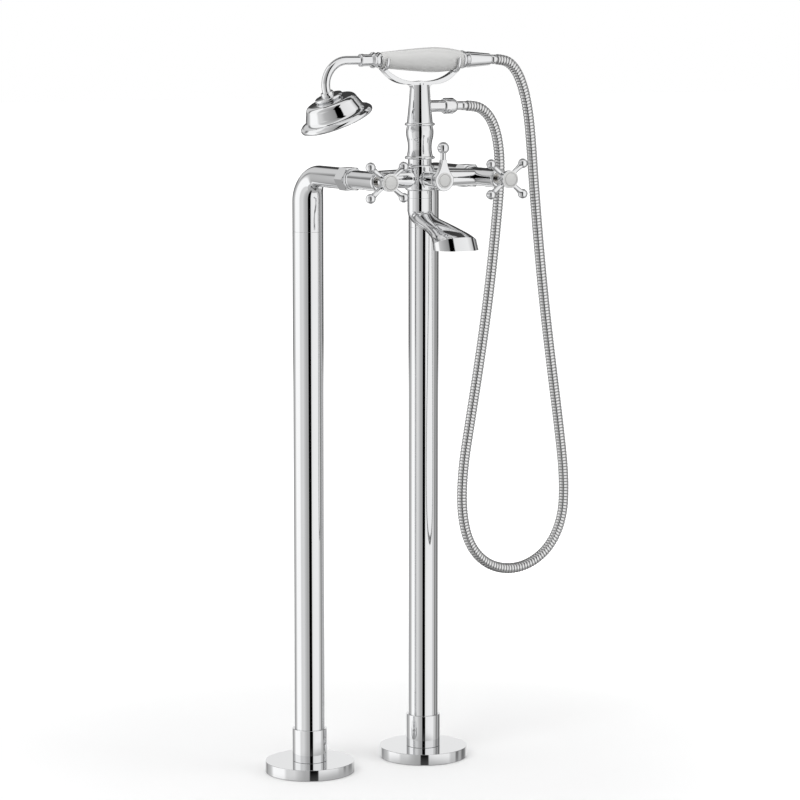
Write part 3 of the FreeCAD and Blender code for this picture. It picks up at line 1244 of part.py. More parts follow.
def rose_face():
    """Face plate of the rose, with three rings of water holes."""
    body = rose_frame("rose_face_plate")
    low = "(rose_depth - 3.2 + slip)"
    spin(body, "plate", [
        ("0", low), ("rose_rim - 4 - slip", low), ("rose_rim - 4 - slip", low + " + face_thick"),
        ("0", low + " + face_thick")])
    for count, reach in NOZZLE_RINGS:
        hole = spin(body, "hole_ring_%s" % reach, [
            ("0", low + " - 1"), ("nozzle_radius", low + " - 1"),
            ("nozzle_radius", low + " + face_thick + 1"), ("0", low + " + face_thick + 1")],
            at=(reach, "0", "0"), cut=True)
        doc.recompute()
        pattern = body.newObject("PartDesign::PolarPattern", "holes_%s" % reach)
        pattern.Originals = [hole]
        for feature in body.Origin.OriginFeatures:
            if feature.Role == "Z_Axis":
                pattern.Axis = (feature, [""])
        pattern.Angle = 360
        pattern.Occurrences = count
        body.Tip = pattern


# ---------------------------------------------------------------- hose

# The hose hangs in the plane of the column. Its route, from the handset to the outlet, as reach
# from the column's axis and drop below the handset's. The first and last runs leave their ferrules
# square, and the points between them are chosen by hand.
HOSE_ROUTE = [
    (129.5, 0.0), (144.5, 9.7), (154.8, 25.7), (162.6, 47.7), (168.6, 76.2), (172.6, 112.2),
    (176.5, 159.2), (184.5, 241.2), (194.5, 328.2), (207.0, 416.2), (220.0, 502.2), (229.0, 573.2),
    (226.5, 629.2), (202.5, 671.2), (160.0, 692.2), (113.0, 686.7), (79.0, 657.2), (65.0, 608.2),
    (67.0, 548.2), (78.0, 486.2), (92.0, 408.2), (103.5, 336.2), (111.8, 274.2), (118.5, 214.2),
    (122.8, 168.2), (123.2, 130.2), (119.0, 102.2), (111.5, 82.2), (100.0, 68.2), (84.5, 60.8),
]


def hose_points():
    plane = -size("column_forward")
    first = Vector(size("upper_ferrule_end + air"), plane, size("handset_height"))
    last = Vector(size("lower_ferrule_end"), plane, size("outlet_height"))
    middle = [Vector(reach, plane, first.z - drop) for reach, drop in HOSE_ROUTE]
    middle[-1].z = last.z
    return [first] + middle + [last]


def hose_path(points):
    """Straight runs and tangent arcs. Returns the edges and the smallest radius."""
    edges = []
    radii = []
    start = points[0]
    for before, corner, after in zip(points, points[1:], points[2:]):
        run_in = corner - before
        run_out = after - corner
        turn = run_in.getAngle(run_out)
        shorter = min(run_in.Length, run_out.Length)
        cut_back = ARC_SHARE * shorter
        radii.append(cut_back / math.tan(turn / 2))
        tangent_in = corner - Vector(run_in).normalize() * cut_back
        tangent_out = corner + Vector(run_out).normalize() * cut_back
        inward = (tangent_in + tangent_out) / 2 - corner
        reach = radii[-1] / math.cos(turn / 2) - radii[-1]
        middle = corner + Vector(inward).normalize() * reach
        edges.append(Part.LineSegment(start, tangent_in).toShape())
        edges.append(Part.Arc(tangent_in, middle, tangent_out).toShape())
        start = tangent_out
    edges.append(Part.LineSegment(start, points[-1]).toShape())
    return edges, radii


def spots_along(edges, distances):
    """The place and direction at each distance along the path."""
    spots = []
    index = 0
    passed = 0.0
    for distance in distances:
        while index < len(edges) - 1 and distance > passed + edges[index].Length:
            passed += edges[index].Length
            index += 1
        edge = edges[index]
        share = min(1.0, max(0.0, (distance - passed) / edge.Length))
        number = edge.FirstParameter + share * (edge.LastParameter - edge.FirstParameter)
        spot = edge.valueAt(number)
        along = edge.tangentAt(number)
        spots.append((spot, along))
    return spots


def ring_wire(spot, along, radius):
    """A circle square to the path, whose X axis is always the row's Y axis."""
    steady = Vector(0, 1, 0)
    circle = Part.Circle(spot, along, radius)
    circle.XAxis = steady
    return Part.Wire([circle.toShape()])


def hose():
    """Ribbed metal hose from the handset down, round and up to the outlet on the column."""
    points = hose_points()
    edges, radii = hose_path(points)
    runs = [(after - before).Length for before, after in zip(points, points[1:])]
    length = sum(edge.Length for edge in edges)
    diameter = 2 * size("hose_radius")
    crest = size("hose_radius")
    valley = size("hose_valley")
    cuff = size("hose_cuff")
    cuff_radius = size("hose_cuff_radius")
    pitch = (length - 2 * cuff) / RIB_COUNT
    distances = [0.0]
    sizes = [cuff_radius]
    for rib in range(RIB_COUNT):
        for share, radius in ((0.06, valley), (0.28, crest), (0.72, crest), (0.94, valley)):
            distances.append(cuff + (rib + share) * pitch)
            sizes.append(radius)
    sizes[1] = cuff_radius
    sizes[-1] = cuff_radius
    distances.append(length)
    sizes.append(cuff_radius)
    outer = [ring_wire(spot, along, radius)
             for (spot, along), radius in zip(spots_along(edges, distances), sizes)]
    ribbed = Part.makeLoft(outer, True, True)
    steps = [0.0, length]
    passed = 0.0
    for edge in edges:
        shares = 1 if isinstance(edge.Curve, Part.Line) else 4
        steps += [passed + edge.Length * step / shares for step in range(shares)]
        passed += edge.Length
    steps = sorted(set(round(distance, 6) for distance in steps))
    bore = Part.makeLoft([ring_wire(spot, along, size("hose_bore"))
                          for spot, along in spots_along(edges, steps)], True, True)
    shape = ribbed.cut(bore)
    thing = doc.addObject("Part::Feature", "shower_hose")
    thing.Shape = shape
    thing.Placement = Placement()
    parts.append(thing)
    cones = 0.0
    for (low, high), (near, far) in zip(zip(distances, distances[1:]), zip(sizes, sizes[1:])):
        cones += math.pi / 3 * (high - low) * (near * near + near * far + far * far)
    expected = cones - math.pi * size("hose_bore") ** 2 * length
    print("hose: %.0f mm long, %.1f mm across, rib pitch %.2f mm" % (length, diameter, pitch))
    print("hose: runs %.0f to %.0f mm, radii %s" % (min(runs), max(runs), [round(r) for r in radii]))
    print("hose: runs side by side differ by %.2f times at most"
          % max(max(a, b) / min(a, b) for a, b in zip(runs, runs[1:])))
    print("hose: longest run is %.1f diameters, limit %d" % (max(runs) / diameter, LARGEST_RUN))
    spots = [spot for spot, along in spots_along(edges, [5.0 * step for step in range(int(length / 5))])]
    gap = min((a - b).Length for i, a in enumerate(spots) for b in spots[i + 30:]) - diameter
    print("hose: valleys between ribs %.2f mm wide, least gap between its two strands %.1f mm"
          % (pitch * 0.12, gap))
    print("hose: volume %.0f mm3, section times length %.0f mm3" % (shape.Volume, expected))


# ---------------------------------------------------------------- the whole filler

for side, x in SIDES:
    floor_plate(side, x)
    cover_flange(side, x)
    base_collar(side, x)
    standpipe(side, x)
    elbow(side, x)
    union_nut(side, x)
pipe_seals()
grub_screws()
union_washers()
mixer_body()
for side, x in SIDES:
    valve_cartridge(side, x)
    ported_disc(side + "_fixed_disc", x, FIXED_DISC)
    moving_disc(side, x)
    valve_spindle(side, x)
    valve_bonnet(side, x)
    cross_handle(side, x)
    index_disc(side, x)
    handle_screw(side, x)
diverter_spindle()
diverter_gland()
diverter_bonnet()
diverter_lever()
lever_index_disc()
lever_screw()
spout_tail()
spout()
baluster()
column_cone()
lower_hose_washer()
lower_hose_nut()
lower_ferrule()
cradle()
grip()
grip_core()
front_collar()
rear_collar()
cone_nut()
upper_ferrule()
neck_tube()
rose_body()
rose_face()
hose()

doc.recompute()
for thing in doc.Objects:
    if "Invalid" in thing.State or "Error" in thing.State:
        raise RuntimeError("%s did not build: %s" % (thing.Label, thing.State))
for part in parts:
    if part.Shape.isNull() or not part.Shape.isValid():
        raise RuntimeError("%s has no valid shape" % part.Label)
os.makedirs("parts", exist_ok=True)
for part in parts:
    part.Shape.exportStep("parts/%s.step" % part.Label)
print("%d nodes, %d solids" % (len(parts), sum(len(part.Shape.Solids) for part in parts)))
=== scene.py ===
import math

import bpy
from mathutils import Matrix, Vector


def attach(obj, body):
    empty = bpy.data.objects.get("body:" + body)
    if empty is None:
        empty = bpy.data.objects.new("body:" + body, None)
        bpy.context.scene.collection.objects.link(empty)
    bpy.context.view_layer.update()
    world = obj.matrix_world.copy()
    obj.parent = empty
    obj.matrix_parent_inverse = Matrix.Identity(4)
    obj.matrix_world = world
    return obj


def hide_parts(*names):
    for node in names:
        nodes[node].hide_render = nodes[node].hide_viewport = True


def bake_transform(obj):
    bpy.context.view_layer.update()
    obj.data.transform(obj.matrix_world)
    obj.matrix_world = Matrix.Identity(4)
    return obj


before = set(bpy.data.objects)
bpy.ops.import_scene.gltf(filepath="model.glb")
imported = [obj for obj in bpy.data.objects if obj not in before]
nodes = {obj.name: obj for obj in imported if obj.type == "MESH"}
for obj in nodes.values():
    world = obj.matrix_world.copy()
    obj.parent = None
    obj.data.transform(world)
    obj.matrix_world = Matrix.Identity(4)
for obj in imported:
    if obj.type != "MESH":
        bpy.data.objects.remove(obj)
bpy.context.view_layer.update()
bpy.ops.object.select_all(action="DESELECT")


# ---------------------------------------------------------------- the photographer's camera
# A long lens, set up low and a little to the left of the filler's front.

aim = Vector((0.0019, -0.0900, 0.5198))
camera_distance = 4.0674
view_turn = math.radians(29.42)
view_drop = math.radians(7.26)
towards = Vector((math.sin(view_turn) * math.cos(view_drop), math.cos(view_turn) * math.cos(view_drop),
                  -math.sin(view_drop)))
bpy.ops.object.camera_add(location=aim - towards * camera_distance)
camera = bpy.context.object
camera.name = "product_camera"
camera.rotation_euler = towards.to_track_quat("-Z", "Y").to_euler()
camera.data.lens = 135.81
camera.data.sensor_width = 36.0
camera.data.clip_start = 0.1
camera.data.clip_end = 50.0
bpy.context.scene.camera = camera
bpy.context.scene.view_settings.view_transform = "Standard"


# ---------------------------------------------------------------- the studio
# A white floor that runs on to the horizon, soft lamps overhead and to both sides, and round
# the filler a glowing tent of painted light and shade, white and grey with dark gaps, which only the chrome
# shows.

class Value:
    """A number, colour or place that varies over a surface. A sum of values adds its own nodes."""

    def __init__(self, finish, socket):
        self.finish = finish
        self.socket = socket

    def __add__(self, other):
        return self.finish.maths("ADD", self, other)

    def __radd__(self, other):
        return self.finish.maths("ADD", other, self)

    def __sub__(self, other):
        return self.finish.maths("SUBTRACT", self, other)

    def __rsub__(self, other):
        return self.finish.maths("SUBTRACT", other, self)

    def __mul__(self, other):
        return self.finish.maths("MULTIPLY", self, other)

    def __rmul__(self, other):
        return self.finish.maths("MULTIPLY", other, self)

    def __pow__(self, other):
        return self.finish.maths("POWER", self, other)


class Finish:
    """A material, or the world, with its one shader and what feeds its sockets."""

    def __init__(self, name, world=False, **constants):
        self.material = (bpy.data.worlds if world else bpy.data.materials).new(name)
        self.material.use_nodes = True
        self.tree = self.material.node_tree
        self.shader = self.tree.nodes["Background" if world else "Principled BSDF"]
        self.shade(**constants)

    def add(self, kind, settings=None, sockets=None, output=0):
        """Add a node of any kind, with its settings and what its sockets are fed with."""
        node = self.tree.nodes.new(kind)
        for word, setting in (settings or {}).items():
            if word == "stops":
                ramp = node.color_ramp.elements
                while len(ramp) < len(setting):
                    ramp.new(0.5)
                for stop, (spot, level) in zip(ramp, setting):
                    stop.position = spot
                    stop.color = grey(level)
            else:
                setattr(node, word, setting)
        for name, value in (sockets or {}).items():
            self.feed(node.inputs[name], value)
        return Value(self, node.outputs[output])

    def feed(self, socket, value):
        if isinstance(value, Value):
            self.tree.links.new(value.socket, socket)
        else:
            socket.default_value = value

    def shade(self, **fed):
        """Feed the shader's sockets, each named in words such as base_color."""
        for words, value in fed.items():
            self.feed(self.shader.inputs[words.replace("_", " ").title().replace("Ior", "IOR")], value)

    def maths(self, operation, first, second):
        return self.add("ShaderNodeMath", {"operation": operation}, {0: first, 1: second})

    def place(self):
        return self.add("ShaderNodeTexCoord", output="Object")

    def cloud(self, place, scale, detail=2.0, roughness=0.5):
        return self.add("ShaderNodeTexNoise", {}, {"Vector": place, "Scale": scale, "Detail": detail,
                                                   "Roughness": roughness})

    def split(self, place):
        """The three coordinates of a place, each as a value."""
        parts = self.add("ShaderNodeSeparateXYZ", {}, {0: place}).socket.node
        return [Value(self, parts.outputs[number]) for number in range(3)]

    def steps(self, value, stops):
        """A grey that follows a value from stop to stop."""
        return self.add("ShaderNodeValToRGB", {"stops": stops}, {0: value})

    def rise(self, value, start, end, first=0.0, last=1.0):
        """A number that goes smoothly from first to last while the value goes from start to end."""
        return self.add("ShaderNodeMapRange", {"interpolation_type": "SMOOTHSTEP"},
                        {"Value": value, "From Min": start, "From Max": end, "To Min": first,
                         "To Max": last})

    def blend(self, share, first, second):
        return self.add("ShaderNodeMix", {"data_type": "RGBA"}, {0: share, 6: first, 7: second}, 2)

    def relief(self, height, strength, distance=0.0002):
        return self.add("ShaderNodeBump", {}, {"Height": height, "Strength": strength, "Distance": distance})

    def in_view(self):
        """One for what the camera, metal or glass shows, and nothing for light on the object."""
        camera_ray, glossy_ray, clear_ray = [
            self.add("ShaderNodeLightPath", output="Is " + kind + " Ray")
            for kind in ("Camera", "Glossy", "Transmission")]
        direct = self.maths("MAXIMUM", camera_ray, glossy_ray)
        return self.maths("MAXIMUM", direct, clear_ray)


def grey(level):
    return (level, level, level, 1.0)


bpy.ops.mesh.primitive_plane_add(size=60.0, location=(0.0, 0.0, -0.0004))
floor = bpy.context.object
floor.name = "studio_floor"
# Reflections don't see the floor: they see the tent's glowing ground of painted shade instead.
floor.visible_glossy = False
paper = Finish("white_paper", base_color=grey(0.82), roughness=0.85, emission_strength=1.0)
east, north = paper.split(paper.place())[:2]
brightness = paper.rise((east * east + north * north) ** 0.5, 0.3, 1.5, 0.10, 0.62)
paper.shade(emission_color=paper.blend(paper.in_view() * brightness, grey(0.0), grey(1.0)))
floor.data.materials.append(paper.material)


def around(finish):
    """How far a place lies to the photographer's side, how far to the right of it, and how high."""
    east, north, height = finish.split(finish.place())
    return (east * -math.sin(view_turn) + north * -math.cos(view_turn),
            east * math.cos(view_turn) + north * -math.sin(view_turn), height)


tent_radius = 1.0
tent_bottom, tent_top = -1.22, 2.18
tent_edges = 96
bpy.ops.mesh.primitive_cylinder_add(vertices=tent_edges, radius=tent_radius, depth=tent_top - tent_bottom,
                                    end_fill_type="NOTHING",
                                    location=(0.0, aim.y, (tent_bottom + tent_top) / 2))
tent = bpy.context.object
tent.name = "studio_tent"
# The tent lights nothing and is seen only in reflections: its greys are its own glow, painted light and
# shade.
glowing_tent = Finish("tent_cloth", base_color=grey(0.0), specular_ior_level=0.0, emission_strength=1.15)
front, right, height = around(glowing_tent)
round_tent = glowing_tent.maths("ARCTAN2", right, front) * (0.5 / math.pi) + 0.5

# The glowing strips of painted light and shade, each with its turn in degrees from the photographer's side
# and its grey.
beside_pipes = [(-138, 0.25), (-128, 0.42), (-118, 0.50), (-112, 0.62), (-104, 1.0), (-72, 1.0),
                (-64, 0.68), (-44, 0.70), (-34, 0.56), (-20, 0.42), (-7, 0.40), (-5, 0.0), (16, 0.0),
                (19, 0.80), (40, 0.88), (76, 0.88), (84, 0.60), (97, 0.58), (102, 0.16), (108, 0.20),
                (113, 0.42), (121, 0.38), (126, 0.15), (136, 0.18)]
pipe_strips = [(-180, 0.05), (-150, 0.08)] + beside_pipes + [(150, 0.08), (180, 0.05)]
foot_strips = ([(-180, 0.80), (-150, 0.74), (-142, 0.28)] + beside_pipes
               + [(144, 0.28), (154, 0.74), (180, 0.80)])
high_strips = [(-180, 0.04), (-158, 0.05), (-150, 0.60), (-126, 0.62), (-118, 0.20), (-112, 0.25),
               (-106, 0.95), (-72, 0.95), (-64, 0.58), (-34, 0.42), (-7, 0.28), (-5, 0.0), (16, 0.0),
               (19, 0.80), (76, 0.88), (97, 0.60), (103, 0.03), (112, 0.03), (118, 0.55), (140, 0.55),
               (150, 0.06), (180, 0.04)]
under_strips = [(-180, 0.05), (-158, 0.08), (-150, 0.42), (-110, 0.48), (-60, 0.50), (-7, 0.34),
                (-5, 0.05), (16, 0.05), (19, 0.45), (97, 0.40), (150, 0.38), (158, 0.08), (180, 0.05)]
under, foot, beside, high = [
    glowing_tent.steps(round_tent, [(0.5 + angle / 360, level) for angle, level in strips])
    for strips in (under_strips, foot_strips, pipe_strips, high_strips)]
low = glowing_tent.blend(glowing_tent.rise(height, -0.78, -0.68), under, foot)
low = glowing_tent.blend(glowing_tent.rise(height, -0.08, 0.02), low, beside)
glowing_tent.shade(emission_color=glowing_tent.blend(glowing_tent.rise(height, 0.44, 0.54), low, high))
tent.data.materials.append(glowing_tent.material)

# The ceiling, and the ground below the floor, glow too, with painted light and dark bands for the
# reflections.
ceiling_strips = [(0.0, 0.80), (0.20, 0.80), (0.24, 0.05), (0.52, 0.05), (0.56, 0.85), (1.0, 0.90)]
ground_strips = [(0.0, 0.04), (0.50, 0.05), (0.56, 0.40), (1.0, 0.45)]
covers = []
for name, height, strips in (("tent_ceiling", tent_top, ceiling_strips),
                             ("tent_ground", tent_bottom, ground_strips)):
    bpy.ops.mesh.primitive_circle_add(vertices=tent_edges, radius=tent_radius, fill_type="NGON",
                                      location=(0.0, aim.y, height))
    cover = bpy.context.object
    cover.name = name
    sheet = Finish(name + "_cloth", base_color=grey(0.0), specular_ior_level=0.0, emission_strength=1.0)
    front = around(sheet)[0]
    sheet.shade(emission_color=sheet.steps(front * 0.5 + 0.5, strips))
    cover.data.materials.append(sheet.material)
    covers.append(cover)
ceiling, ground = covers
for cover in (tent, ceiling, ground):
    cover.visible_camera = False
    cover.visible_diffuse = False
    cover.visible_shadow = False
    cover.visible_transmission = False
    cover.visible_volume_scatter = False

lit_spot = Vector((0.0, -0.1, 0.55))
for name, at, size, power in (("lamp_left", (-2.2, -1.2, 2.3), 1.6, 26.0),
                              ("lamp_right", (2.0, -2.0, 2.1), 1.6, 20.0),
                              ("lamp_top", (0.0, 0.2, 3.0), 2.2, 26.0)):
    bpy.ops.object.light_add(type="AREA", location=at)
    lamp = bpy.context.object
    lamp.name = name
    lamp.data.shape = "SQUARE"
    lamp.data.size = size
    lamp.data.energy = power
    lamp.rotation_euler = (lit_spot - Vector(at)).to_track_quat("-Z", "Y").to_euler()
    lamp.visible_glossy = False

sky = Finish("studio_world", world=True, color=grey(1.0))
sky_light, white = 0.62, 1.0
sky.shade(strength=sky.in_view() * (white - sky_light) + sky_light)
bpy.context.scene.world = sky.material


# ---------------------------------------------------------------- floor plates and seals
# Two brass plates, turned from bar and left bare, each screwed to the floor by two screws. A
# black rubber ring in a groove of each boss seals the foot of the standpipe.

def cloudy_finish(name, first, second, metallic, rough, spread, scale, strength):
    """A finish with a cloudy colour between two, a gloss that varies and a fine grain."""
    finish = Finish(name, metallic=metallic)
    place = finish.place()
    patches = finish.cloud(place, scale, 3.0)
    grain = finish.cloud(place, scale * 20, 2.0)
    finish.shade(base_color=finish.blend(patches, first, second), roughness=patches * spread + rough,
                 normal=finish.relief(grain, strength))
    return finish.material


def refinished(finish, *names):
    """Nodes whose shape is right as it is get their finish."""
    for name in names:
        nodes[name].data.materials.clear()
        nodes[name].data.materials.append(finish)


brass = cloudy_finish("machined_brass", (0.80, 0.58, 0.27, 1.0), (0.58, 0.40, 0.17, 1.0), 1.0, 0.22, 0.18,
                      30.0, 0.15)
rubber = cloudy_finish("black_rubber", grey(0.035), grey(0.02), 0.0, 0.55, 0.2, 50.0, 0.3)
refinished(brass, "left_floor_plate", "right_floor_plate")
refinished(rubber, "pipe_sealing_rings")


# ---------------------------------------------------------------- cover flanges
# Two thick round covers of brass, turned and chrome plated. Each stands on the floor over its
# floor plate and hides the screws.

weld = 0.000002
UP = (Vector((0.0, 1.0, 0.0)), Vector((0.0, 0.0, 1.0)))
DOWN = (Vector((0.0, 1.0, 0.0)), Vector((0.0, 0.0, -1.0)))
FORWARD = (Vector((0.0, 0.0, -1.0)), Vector((0.0, -1.0, 0.0)))
RIGHT = (Vector((0.0, 1.0, 0.0)), Vector((1.0, 0.0, 0.0)))


def swept_corner(first, middle, last, steps):
    """Points on the circle through three points, without the first."""
    (ax, ay), (bx, by), (cx, cy) = first, middle, last
    double = 2 * (ax * (by - cy) + bx * (cy - ay) + cx * (ay - by))
    a2, b2, c2 = ax * ax + ay * ay, bx * bx + by * by, cx * cx + cy * cy
    ux = (a2 * (by - cy) + b2 * (cy - ay) + c2 * (ay - by)) / double
    uy = (a2 * (cx - bx) + b2 * (ax - cx) + c2 * (bx - ax)) / double
    start = math.atan2(ay - uy, ax - ux)
    whole = (math.atan2(cy - uy, cx - ux) - start) % (2 * math.pi)
    half = (math.atan2(by - uy, bx - ux) - start) % (2 * math.pi)
    if half > whole:
        whole -= 2 * math.pi
    radius = math.hypot(ax - ux, ay - uy)
    return [(ux + radius * math.cos(start + whole * step / steps),
             uy + radius * math.sin(start + whole * step / steps)) for step in range(1, steps + 1)]


def outline(profile, steps=10):
    """The corners of a profile. A corner marked round is a point on the arc between its neighbours."""
    points = []
    skip = False
    for number, corner in enumerate(profile):
        if skip:
            skip = False
            continue
        if len(corner) == 3:
            points += swept_corner(points[-1], corner[:2], profile[number + 1][:2], steps)
            skip = True
        else:
            points.append(corner)
    return points


def in_edit(piece):
    """Edit one piece, with all of it selected."""
    bpy.ops.object.select_all(action="DESELECT")
    piece.select_set(True)
    bpy.context.view_layer.objects.active = piece
    bpy.ops.object.mode_set(mode="EDIT")
    bpy.ops.mesh.select_mode(type="VERT")
    bpy.ops.mesh.select_all(action="SELECT")


def finished_with(piece, kind, **settings):
    """Add a modifier with its settings and apply it."""
    modifier = piece.modifiers.new(kind.lower(), kind)
    for word, setting in settings.items():
        setattr(modifier, word, setting)
    bpy.context.view_layer.objects.active = piece
    bpy.ops.object.modifier_apply(modifier=modifier.name)


def rounded(piece, width, segments, sharpest):
    """Round the edges that are sharper than an angle in degrees, to a width in millimetres."""
    finished_with(piece, "BEVEL", width=width / 1000, segments=segments, limit_method="ANGLE",
                  angle_limit=math.radians(sharpest))


def smoothed(piece, sharpest=48.0):
    """Shade the faces smooth up to the sharp edges."""
    bpy.ops.object.select_all(action="DESELECT")
    piece.select_set(True)
    bpy.context.view_layer.objects.active = piece
    bpy.ops.object.shade_smooth_by_angle(angle=math.radians(sharpest))


def buffed(piece, edge=0.0, sharpest=32.0):
    """Ease the edges as a buffing wheel does, and shade the faces smooth."""
    if edge:
        rounded(piece, edge, 2, sharpest)
    smoothed(piece)
    finished_with(piece, "WEIGHTED_NORMAL", weight=60, keep_sharp=True)


def drawn(name, points):
    """Draw a line of corners, one after the other, as edges."""
    bpy.ops.mesh.primitive_plane_add(size=0.001)
    piece = bpy.context.object
    piece.name = name
    piece.data.name = name
    in_edit(piece)
    bpy.ops.mesh.merge(type="CENTER")
    bpy.ops.transform.translate(value=points[0])
    for before, after in zip(points, points[1:]):
        bpy.ops.mesh.extrude_region_move(TRANSFORM_OT_translate={"value": after - before})
    bpy.ops.mesh.select_all(action="SELECT")
    return piece


def closed_up():
    """Weld the seams of the shell being edited, point its faces outwards and end the editing."""
    bpy.ops.mesh.select_all(action="SELECT")
    bpy.ops.mesh.remove_doubles(threshold=weld)
    bpy.ops.mesh.normals_make_consistent(inside=False)
    bpy.ops.object.mode_set(mode="OBJECT")


def turned(name, profile, at, facing=UP, steps=96, edge=None):
    """Turn a piece on a lathe: draw its profile, as radius and place along the axis, and spin it."""
    radial, along = facing
    at = Vector(at) / 1000
    corners = outline(profile)
    points = [at + radial * (radius / 1000) + along * (place / 1000) for radius, place in corners]
    solid = corners[0][0] == 0 and corners[-1][0] == 0
    piece = drawn(name, points if solid else points + points[:1])
    bpy.ops.mesh.spin(steps=steps, angle=2 * math.pi, center=at, axis=along)
    closed_up()
    if edge is not None:
        buffed(piece, edge)
    return piece


def dressed(piece, finish, body, stands_for):
    """Give a piece its finish and the body that it moves with, and hide the node that it stands for."""
    piece.data.materials.clear()
    piece.data.materials.append(finish)
    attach(piece, body)
    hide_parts(stands_for)


def chrome_finish(name, level=0.84, smudge=0.035, wave=0.03):
    """Chromium plate: bluish white, with a breath of smudging and the faint unevenness of buffing."""
    finish = Finish(name, metallic=1.0)
    place = finish.place()
    film = finish.cloud(place, 7.0, 4.0, 0.6)
    streaks = finish.cloud(place, 90.0, 3.0, 0.55)
    buffing = finish.cloud(place, 24.0, 2.0)
    finish.shade(base_color=finish.blend(film, (level, level + 0.004, level + 0.010, 1.0),
                                         (level - 0.05, level - 0.046, level - 0.038, 1.0)),
                 roughness=film * smudge + streaks * (smudge * 0.5) + 0.012,
                 normal=finish.relief(buffing, wave))
    return finish.material


chrome = chrome_finish("turned_chrome")
left_pipe = -90.0
pipe_spacing = 180.0


def right_copy(left):
    """Copy a left piece to the right standpipe, with its own mesh."""
    bpy.ops.object.select_all(action="DESELECT")
    left.select_set(True)
    bpy.context.view_layer.objects.active = left
    bpy.ops.object.duplicate()
    right = bpy.context.object
    right.name = left.name.replace("left", "right")
    right.data.name = right.name
    in_edit(right)
    bpy.ops.transform.translate(value=(pipe_spacing / 1000, 0.0, 0.0))
    bpy.ops.object.mode_set(mode="OBJECT")
    return right


def dressed_pair(left, finish, body, stands_for):
    """Copy a left piece to the right and dress both."""
    right = right_copy(left)
    dressed(left, finish, body, stands_for)
    dressed(right, finish, body.replace("left", "right"), stands_for.replace("left", "right"))


flange = turned("left_flange_cover", [
    (58.4, 0), (61.4, 0), (61.4, 15.3), (21.1, 15.3), (21.1, 12.3), (58.4, 12.3)],
    (left_pipe, 0, 0), edge=0.7)
dressed_pair(flange, chrome, "stand", "left_cover_flange")


# ---------------------------------------------------------------- base collars
# Chromed brass sleeves over the feet of the pipes, each drilled for a steel grub screw that
# holds it on the pipe.

def joined(piece, other, how="UNION"):
    """Join another solid to a piece, or cut it away."""
    finished_with(piece, "BOOLEAN", object=other, operation=how, solver="EXACT")
    bpy.data.objects.remove(other)


steel = cloudy_finish("stainless_steel", grey(0.58), grey(0.48), 1.0, 0.22, 0.1, 40.0, 0.1)
left_sleeve = turned("left_foot_sleeve", [
    (20.9, 15.3), (23.3, 15.3), (24.0, 16.0), (24.0, 37.6), (24.0, 43.0), (24.0, 60.1), (23.3, 60.8),
    (20.9, 60.8)], (left_pipe, 0, 0))
right_sleeve = right_copy(left_sleeve)
for sleeve, node, x, grub_turn in ((left_sleeve, "left_base_collar", left_pipe, math.radians(-59.0)),
                                   (right_sleeve, "right_base_collar", left_pipe + pipe_spacing,
                                    math.radians(-151.0))):
    inwards = Vector((math.cos(grub_turn), math.sin(grub_turn), 0.0))
    hole = turned("grub_hole", [(0, 19.8), (2.05, 19.8), (2.05, 25), (0, 25)], (x, 0, 40.3),
                  (Vector((0.0, 0.0, 1.0)), inwards), steps=32)
    joined(sleeve, hole, "DIFFERENCE")
    buffed(sleeve)
    dressed(sleeve, chrome, "stand", node)
refinished(steel, "collar_grub_screws")


# ---------------------------------------------------------------- standpipes
# Drawn brass tubes of 41.6 mm, chrome plated, that carry the water up. Each slips over the boss
# of its floor plate.

pipe = turned("left_pipe_tube", [(19.3, 6), (20.8, 6), (20.8, 744.8), (19.3, 744.8)],
              (left_pipe, 0, 0), edge=0.25)
dressed_pair(pipe, chrome, "stand", "left_standpipe")


# ---------------------------------------------------------------- elbows
# Cast brass elbows, ground smooth and plated. The bend shrinks from the pipe's size to the
# leg's, and a flanged tail holds the union nut.

def swept(name, stations, pivot="X", sides=64):
    """Carry a ring along a path. Each station is a centre, the turn about the pivot and two radii."""
    centre, turn, wide, deep = stations[0]
    bpy.ops.mesh.primitive_circle_add(vertices=sides, radius=0.001)
    piece = bpy.context.object
    piece.name = name
    piece.data.name = name
    in_edit(piece)
    shape = (lambda a, b: (a, b, 1.0)) if pivot == "X" else (lambda a, b: (b, a, 1.0))
    here = Vector(centre) / 1000
    bpy.ops.transform.translate(value=here)
    bpy.ops.transform.resize(value=shape(wide, deep), center_override=here)
    bpy.ops.transform.rotate(value=-turn, orient_axis=pivot, center_override=here)
    for new_centre, new_turn, new_wide, new_deep in stations[1:]:
        there = Vector(new_centre) / 1000
        bpy.ops.mesh.extrude_region_move(TRANSFORM_OT_translate={"value": there - here})
        if (new_wide, new_deep) != (wide, deep):
            bpy.ops.transform.rotate(value=turn, orient_axis=pivot, center_override=there)
            bpy.ops.transform.resize(value=shape(new_wide / wide, new_deep / deep), center_override=there)
            bpy.ops.transform.rotate(value=-new_turn, orient_axis=pivot, center_override=there)
        elif new_turn != turn:
            bpy.ops.transform.rotate(value=turn - new_turn, orient_axis=pivot, center_override=there)
        here, turn, wide, deep = there, new_turn, new_wide, new_deep
    closed_up()
    return piece


axis_height = 821
bend_radius = 35
bend_foot = axis_height - bend_radius
quarter = math.pi / 2


def elbow_bend(first, last, steps=24):
    """Stations round the elbow's bend, whose radius eases from the first to the last."""
    stations = []
    for step in range(1, steps):
        share = step / steps
        angle = quarter * share
        radius = first + (last - first) * share * share * (3 - 2 * share)
        centre = (left_pipe, -bend_radius * (1 - math.cos(angle)), bend_foot + bend_radius * math.sin(angle))
        stations.append((centre, angle, radius, radius))
    return stations


